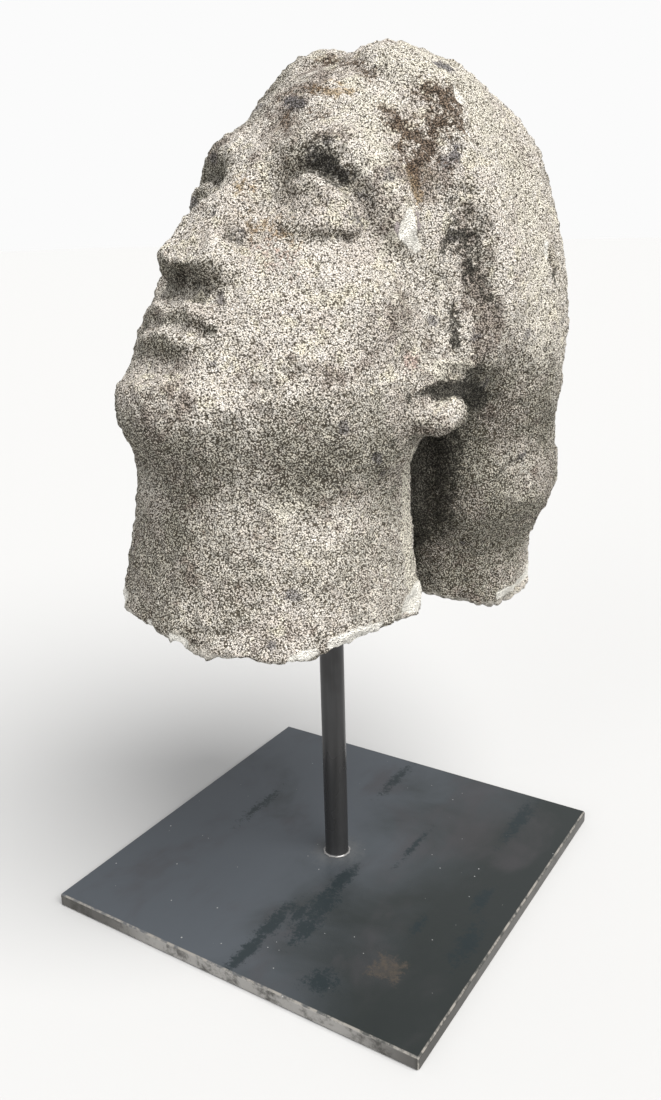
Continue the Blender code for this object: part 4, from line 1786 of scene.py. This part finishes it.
@dataclass(frozen=True)
class MillScale:
    """Blackened hot-rolled plate with etched patches, specks, worn edges, a painted sheen and
    painted glints.
    """

    slate: Colour = (0.078, 0.089, 0.103)
    deep: Colour = (0.026, 0.031, 0.031)
    brown: Colour = (0.080, 0.066, 0.053)
    edge_light: Colour = (0.31, 0.30, 0.285)
    # Painted sheen: the top is lighter towards -x and darker towards +x.
    side: Coat = Coat(deep, -0.04, 0.11, fray=0.22)
    plum: Coat = Coat((0.060, 0.056, 0.061), 0.46, 0.68, 0.0, 0.55)
    cloud: Coat = Coat(deep, 0.56, 0.72, 0.0, 0.5)
    etched: Coat = Coat((0.016, 0.025, 0.029), -0.3, 0.5, 0.9, 0.0, fray=5.5)
    halo: Coat = Coat((0.125, 0.13, 0.133), ROD_DIAMETER / 2, 0.026, 0.55, 0.0, fray=0.03)
    speck: Coat = Coat((0.5, 0.5, 0.5), 0.02, 0.05, 0.9, 0.0, fray=0.12)
    worn: Coat = Coat((0.32, 0.30, 0.27), HALF_PLATE - 0.0016, HALF_PLATE - 0.001)
    edge_dark: Coat = Coat((0.034, 0.032, 0.027), HALF_PLATE - 0.0003, HALF_PLATE - 0.0001)
    clouds: Clouds = Clouds(11, 4, 0.55, 0.4)
    plums: Clouds = Clouds(17, 4, 0.6, 0.3, stretch=(1, 0.6, 1), shift=(0.3, 0.1, 0.0))
    fine: Clouds = Clouds(800, 2, 0.6)
    frays: Clouds = Clouds(240, 5, 0.85, 0.2)
    scuffs: Clouds = Clouds(130, 4, 0.7)
    glints: Clouds = Clouds(60, 5, 0.7)
    specks: float = 90.0
    sheen_slant: float = -0.02
    sheen: Ramp = (0.35, 0.65, 0.36, 0.46)
    metallic: float = 0.25
    depth: float = 0.00003
    unevenness: float = 0.0003
    scar: tuple[float, float, float] = (0.0985, -0.094, 0.0105)
    scar_edge: tuple[float, float] = (-0.004, 0.002)
    scar_fray: float = 0.03
    scar_grain: Ramp = (-0.12, 0.06, 0.95, 0.35)
    scuffed: Ramp = (0.38, 0.6, 0.15, 0.95)
    glinting: Ramp = (0.36, 0.52, 0.15, 1.0)
    front_edge: tuple[float, float] = (0.0, 0.004)
    other_edges: float = 0.12
    brightest_spot: float = 0.02
    bright_length: Ramp = (0.07, 0.13, 1.0, 0.2)
    patches: tuple[Etched, ...] = (
        Etched(0.0065, -0.095, 0.0052, 0.020),
        Etched(0.0075, -0.128, 0.0042, 0.020),
        Etched(0.0235, -0.030, 0.0050, 0.016),
        Etched(0.0250, -0.060, 0.0075, 0.014),
        Etched(0.0290, -0.087, 0.0060, 0.016),
        Etched(0.0165, -0.078, 0.0030, 0.010),
        Etched(0.0660, -0.126, 0.0095, 0.010, 0.8),
        Etched(0.1080, 0.108, 0.0060, 0.030, 0.75),
        Etched(0.1230, 0.002, 0.0045, 0.012, 0.9),
        Etched(0.0960, -0.046, 0.0040, 0.012, 0.6),
        Etched(0.1330, -0.045, 0.0070, 0.022, 0.7),
        Etched(-0.0100, 0.118, 0.0050, 0.030, 0.6),
        Etched(0.0500, 0.036, 0.0035, 0.030, 0.5),
        Etched(-0.0900, 0.020, 0.0060, 0.035, 0.35),
    )

    def material(self) -> bpy.types.Material:
        """Mixes the plate's material.

        Returns:
            The material.
        """
        paint = Shading("mill_scale")
        x, y = paint.axis("X"), paint.axis("Y")
        clouds, plums = paint.noise(self.clouds), paint.noise(self.plums)
        fine, ragged = paint.noise(self.fine), paint.centred(paint.noise(self.frays))
        drifting = paint.centred(clouds)
        # Painted sheen, darker towards +x.
        colour = paint.lay(self.slate, self.side, paint.plus(x, y, self.sheen_slant), drifting)
        colour = paint.lay(colour, self.plum, plums)
        colour = paint.lay(colour, self.cloud, clouds)
        bare = 1.0
        for patch in self.patches:
            bare = paint.maths("MINIMUM", self.outside(paint, patch, ragged), bare)
        colour = paint.lay(colour, self.etched, bare)
        colour = paint.lay(colour, self.halo, paint.length(paint.scaled((1, 1, 0))), ragged)
        colour = paint.lay(colour, self.speck, paint.cells(self.specks), drifting)
        colour = paint.mix(self.scarred(paint, x, y, ragged), colour, self.brown)
        colour = self.edged(paint, colour, x, y)
        paint.shader.inputs["Metallic"].default_value = self.metallic
        rough = paint.step(plums, *self.sheen)
        uneven = paint.bump(clouds, self.unevenness)
        return paint.done(colour, rough, paint.bump(fine, self.depth, uneven))

    def scarred(self, paint: Shading, x: Socket, y: Socket, ragged: Socket) -> Socket:
        """Shapes the square brown mark.

        Args:
            paint: The material's nodes.
            x: How far across the plate.
            y: How far along it.
            ragged: A pattern about nought that frays its edge.

        Returns:
            How strong the mark is.
        """
        across, along, reach = self.scar
        aside, ahead = self.off(paint, x, across), self.off(paint, y, along)
        square = paint.plus(paint.maths("MAXIMUM", aside, ahead), ragged, self.scar_fray)
        low, high = (reach + wide for wide in self.scar_edge)
        square = paint.step(square, low, high, 1, 0)
        return paint.times(square, paint.step(ragged, *self.scar_grain))

    def edged(self, paint: Shading, colour: Signal, x: Socket, y: Socket) -> Socket:
        """Wears the plate's edges and darkens its sides, with painted glints, strongest on the
        front side.

        Args:
            paint: The material's nodes.
            colour: The colour of the top.
            x: How far across the plate.
            y: How far along it.

        Returns:
            The colour with its edges.
        """
        aside, ahead = self.off(paint, x, 0.0), self.off(paint, y, 0.0)
        outermost = paint.maths("MAXIMUM", aside, ahead)
        scuffed = paint.step(paint.noise(self.scuffs), *self.scuffed)
        arris = paint.times(paint.cover(self.worn, outermost), scuffed)
        colour = paint.mix(arris, colour, self.worn.colour)
        face = paint.cover(self.edge_dark, outermost)
        colour = paint.mix(face, colour, self.edge_dark.colour)
        # Painted glints of light on the sides, strongest on the front side and near the middle of
        # each.
        front = paint.step(paint.maths("SUBTRACT", ahead, aside), *self.front_edge)
        glints = paint.step(paint.noise(self.glints), *self.glinting)
        lit = paint.times(glints, paint.maths("MAXIMUM", front, self.other_edges))
        along = [self.off(paint, axis, self.brightest_spot) for axis in (x, y)]
        lit = paint.times(lit, paint.step(paint.maths("MINIMUM", *along), *self.bright_length))
        return paint.mix(paint.times(lit, face), colour, self.edge_light)

    def outside(self, paint: Shading, patch: Etched, ragged: Socket) -> Socket:
        """How far a point lies outside a patch, whose edge is ragged.

        Args:
            paint: The material's nodes.
            patch: The patch.
            ragged: A pattern about nought.

        Returns:
            The distance as a share of the patch's size, below nought on it.
        """
        stretch = (1 / patch.half_width, 1 / patch.half_length, 0.0)
        shift = (-patch.across / patch.half_width, -patch.along / patch.half_length, 0.0)
        away = paint.length(paint.scaled(stretch, shift))
        away = paint.plus(away, ragged, self.etched.fray)
        return paint.maths("SUBTRACT", away, patch.strength)

    @staticmethod
    def off(paint: Shading, along: Socket, middle: float) -> Socket:
        """How far a coordinate is from a middle, on either side."""
        return paint.maths("ABSOLUTE", paint.maths("SUBTRACT", along, middle))


@dataclass(frozen=True)
class SoftLight:
    """A broad soft light that stands in a direction. How broad it looks is in degrees."""

    name: str
    towards: Place
    strength: float
    breadth: float
    colour: Colour

    def on_floor(self) -> float:
        """How bright it makes a white floor."""
        return self.strength / math.pi * Vector(self.towards).normalized().z

    def add(self) -> None:
        """Adds it to the scene."""
        lamp = bpy.data.lights.new(self.name, "SUN")
        lamp.energy = self.strength
        lamp.angle = math.radians(self.breadth)
        lamp.color = self.colour
        holder = bpy.data.objects.new(self.name, lamp)
        holder.rotation_euler = (-Vector(self.towards)).to_track_quat("-Z", "Y").to_euler()
        bpy.context.scene.collection.objects.link(holder)


@dataclass
class Studio:
    """A pale floor, soft light and the camera."""

    lights: tuple[SoftLight, ...] = (
        SoftLight("key", (0.66, -0.14, 1.0), 4.4, 48, (1.0, 0.99, 0.97)),
        SoftLight("fill", (-0.1, -1.0, 0.5), 0.6, 36, (0.97, 0.985, 1.0)),
    )
    floor_side: float = 60.0
    backdrop: float = 0.965
    ambient: float = 0.48
    camera_place: Place = (0.36119, -0.55944, 0.47523)
    azimuth: float = math.radians(32.742)
    elevation: float = math.radians(18.015)
    roll: float = math.radians(-1.552)
    sensor: float = 36.0
    image_height: float = 1100.0
    focal_pixels: float = 986.02

    def build(self) -> None:
        """Lays the floor and sets up the lights and the camera."""
        self.lay_floor()
        self.light_world()
        for light in self.lights:
            light.add()
        self.place_camera()

    def lay_floor(self) -> None:
        """Lays a floor that is as bright as the backdrop where nothing shades it."""
        sheet = bmesh.new()
        bmesh.ops.create_grid(sheet, x_segments=1, y_segments=1, size=self.floor_side / 2)
        floor = new_object("floor", sheet)
        lit = self.ambient + sum(light.on_floor() for light in self.lights)
        paint = Shading("pale_floor")
        paint.shader.inputs["Base Color"].default_value = (*[self.backdrop / lit] * 3, 1)
        paint.shader.inputs["Roughness"].default_value = 1.0
        paint.shader.inputs["Specular IOR Level"].default_value = 0.0
        floor.data.materials.append(paint.material)

    def light_world(self) -> None:
        """Lights the room evenly, with a white backdrop behind."""
        world = bpy.data.worlds.new("room")
        world.use_nodes = True
        tree = world.node_tree
        lit = tree.nodes["Background"]
        lit.inputs["Color"].default_value = (1, 1, 1, 1)
        lit.inputs["Strength"].default_value = self.ambient
        seen = tree.nodes.new("ShaderNodeBackground")
        seen.inputs["Color"].default_value = (1, 1, 1, 1)
        seen.inputs["Strength"].default_value = self.backdrop
        path = tree.nodes.new("ShaderNodeLightPath")
        both = tree.nodes.new("ShaderNodeMixShader")
        tree.links.new(path.outputs["Is Camera Ray"], both.inputs[0])
        tree.links.new(lit.outputs[0], both.inputs[1])
        tree.links.new(seen.outputs[0], both.inputs[2])
        tree.links.new(both.outputs[0], tree.nodes["World Output"].inputs["Surface"])
        bpy.context.scene.world = world
        bpy.context.scene.view_settings.view_transform = "Standard"

    def place_camera(self) -> None:
        """Places the camera at the photograph's angle."""
        around, up = self.azimuth, self.elevation
        back = Vector(
            (math.sin(around) * math.cos(up), -math.cos(around) * math.cos(up), math.sin(up))
        )
        level = Vector((math.cos(around), math.sin(around), 0))
        upward = back.cross(level)
        right = math.cos(self.roll) * level + math.sin(self.roll) * upward
        top = math.cos(self.roll) * upward - math.sin(self.roll) * level
        camera = bpy.data.objects.new("camera", bpy.data.cameras.new("camera"))
        camera.data.lens = self.focal_pixels / self.image_height * self.sensor
        camera.data.sensor_width = self.sensor
        turned = Matrix((right, top, back)).transposed().to_4x4()
        camera.matrix_world = Matrix.Translation(self.camera_place) @ turned
        bpy.context.scene.collection.objects.link(camera)
        bpy.context.scene.camera = camera


def dress(piece: bpy.types.Object, material: bpy.types.Material) -> None:
    """Gives a piece its material.

    Args:
        piece: The piece.
        material: The material.
    """
    if not piece.material_slots:
        piece.data.materials.append(material)
    for slot in piece.material_slots:
        slot.material = material
    LOG.info("%s: %d faces", piece.name, len(piece.data.polygons))


def carry(piece: bpy.types.Object, node: str) -> None:
    """Puts a piece in the place of a frame node.

    Args:
        piece: The piece.
        node: The node that it stands for.
    """
    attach(piece, "root")
    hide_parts(node)


def main() -> None:
    """Builds the stone and its stand and lights them."""
    logging.basicConfig(level=logging.INFO, format="%(name)s: %(message)s")
    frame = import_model()
    stone = StoneHead().build(frame["nodes"]["stone_head"])
    carry(stone, "stone_head")
    dress(stone, WeatheredStone().material())
    rod = SupportRod().build()
    carry(rod, "support_rod")
    dress(rod, DarkRodSteel().material())
    dress(frame["nodes"]["base_plate"], MillScale().material())
    Studio().build()


if __name__ == "__main__":
    main()
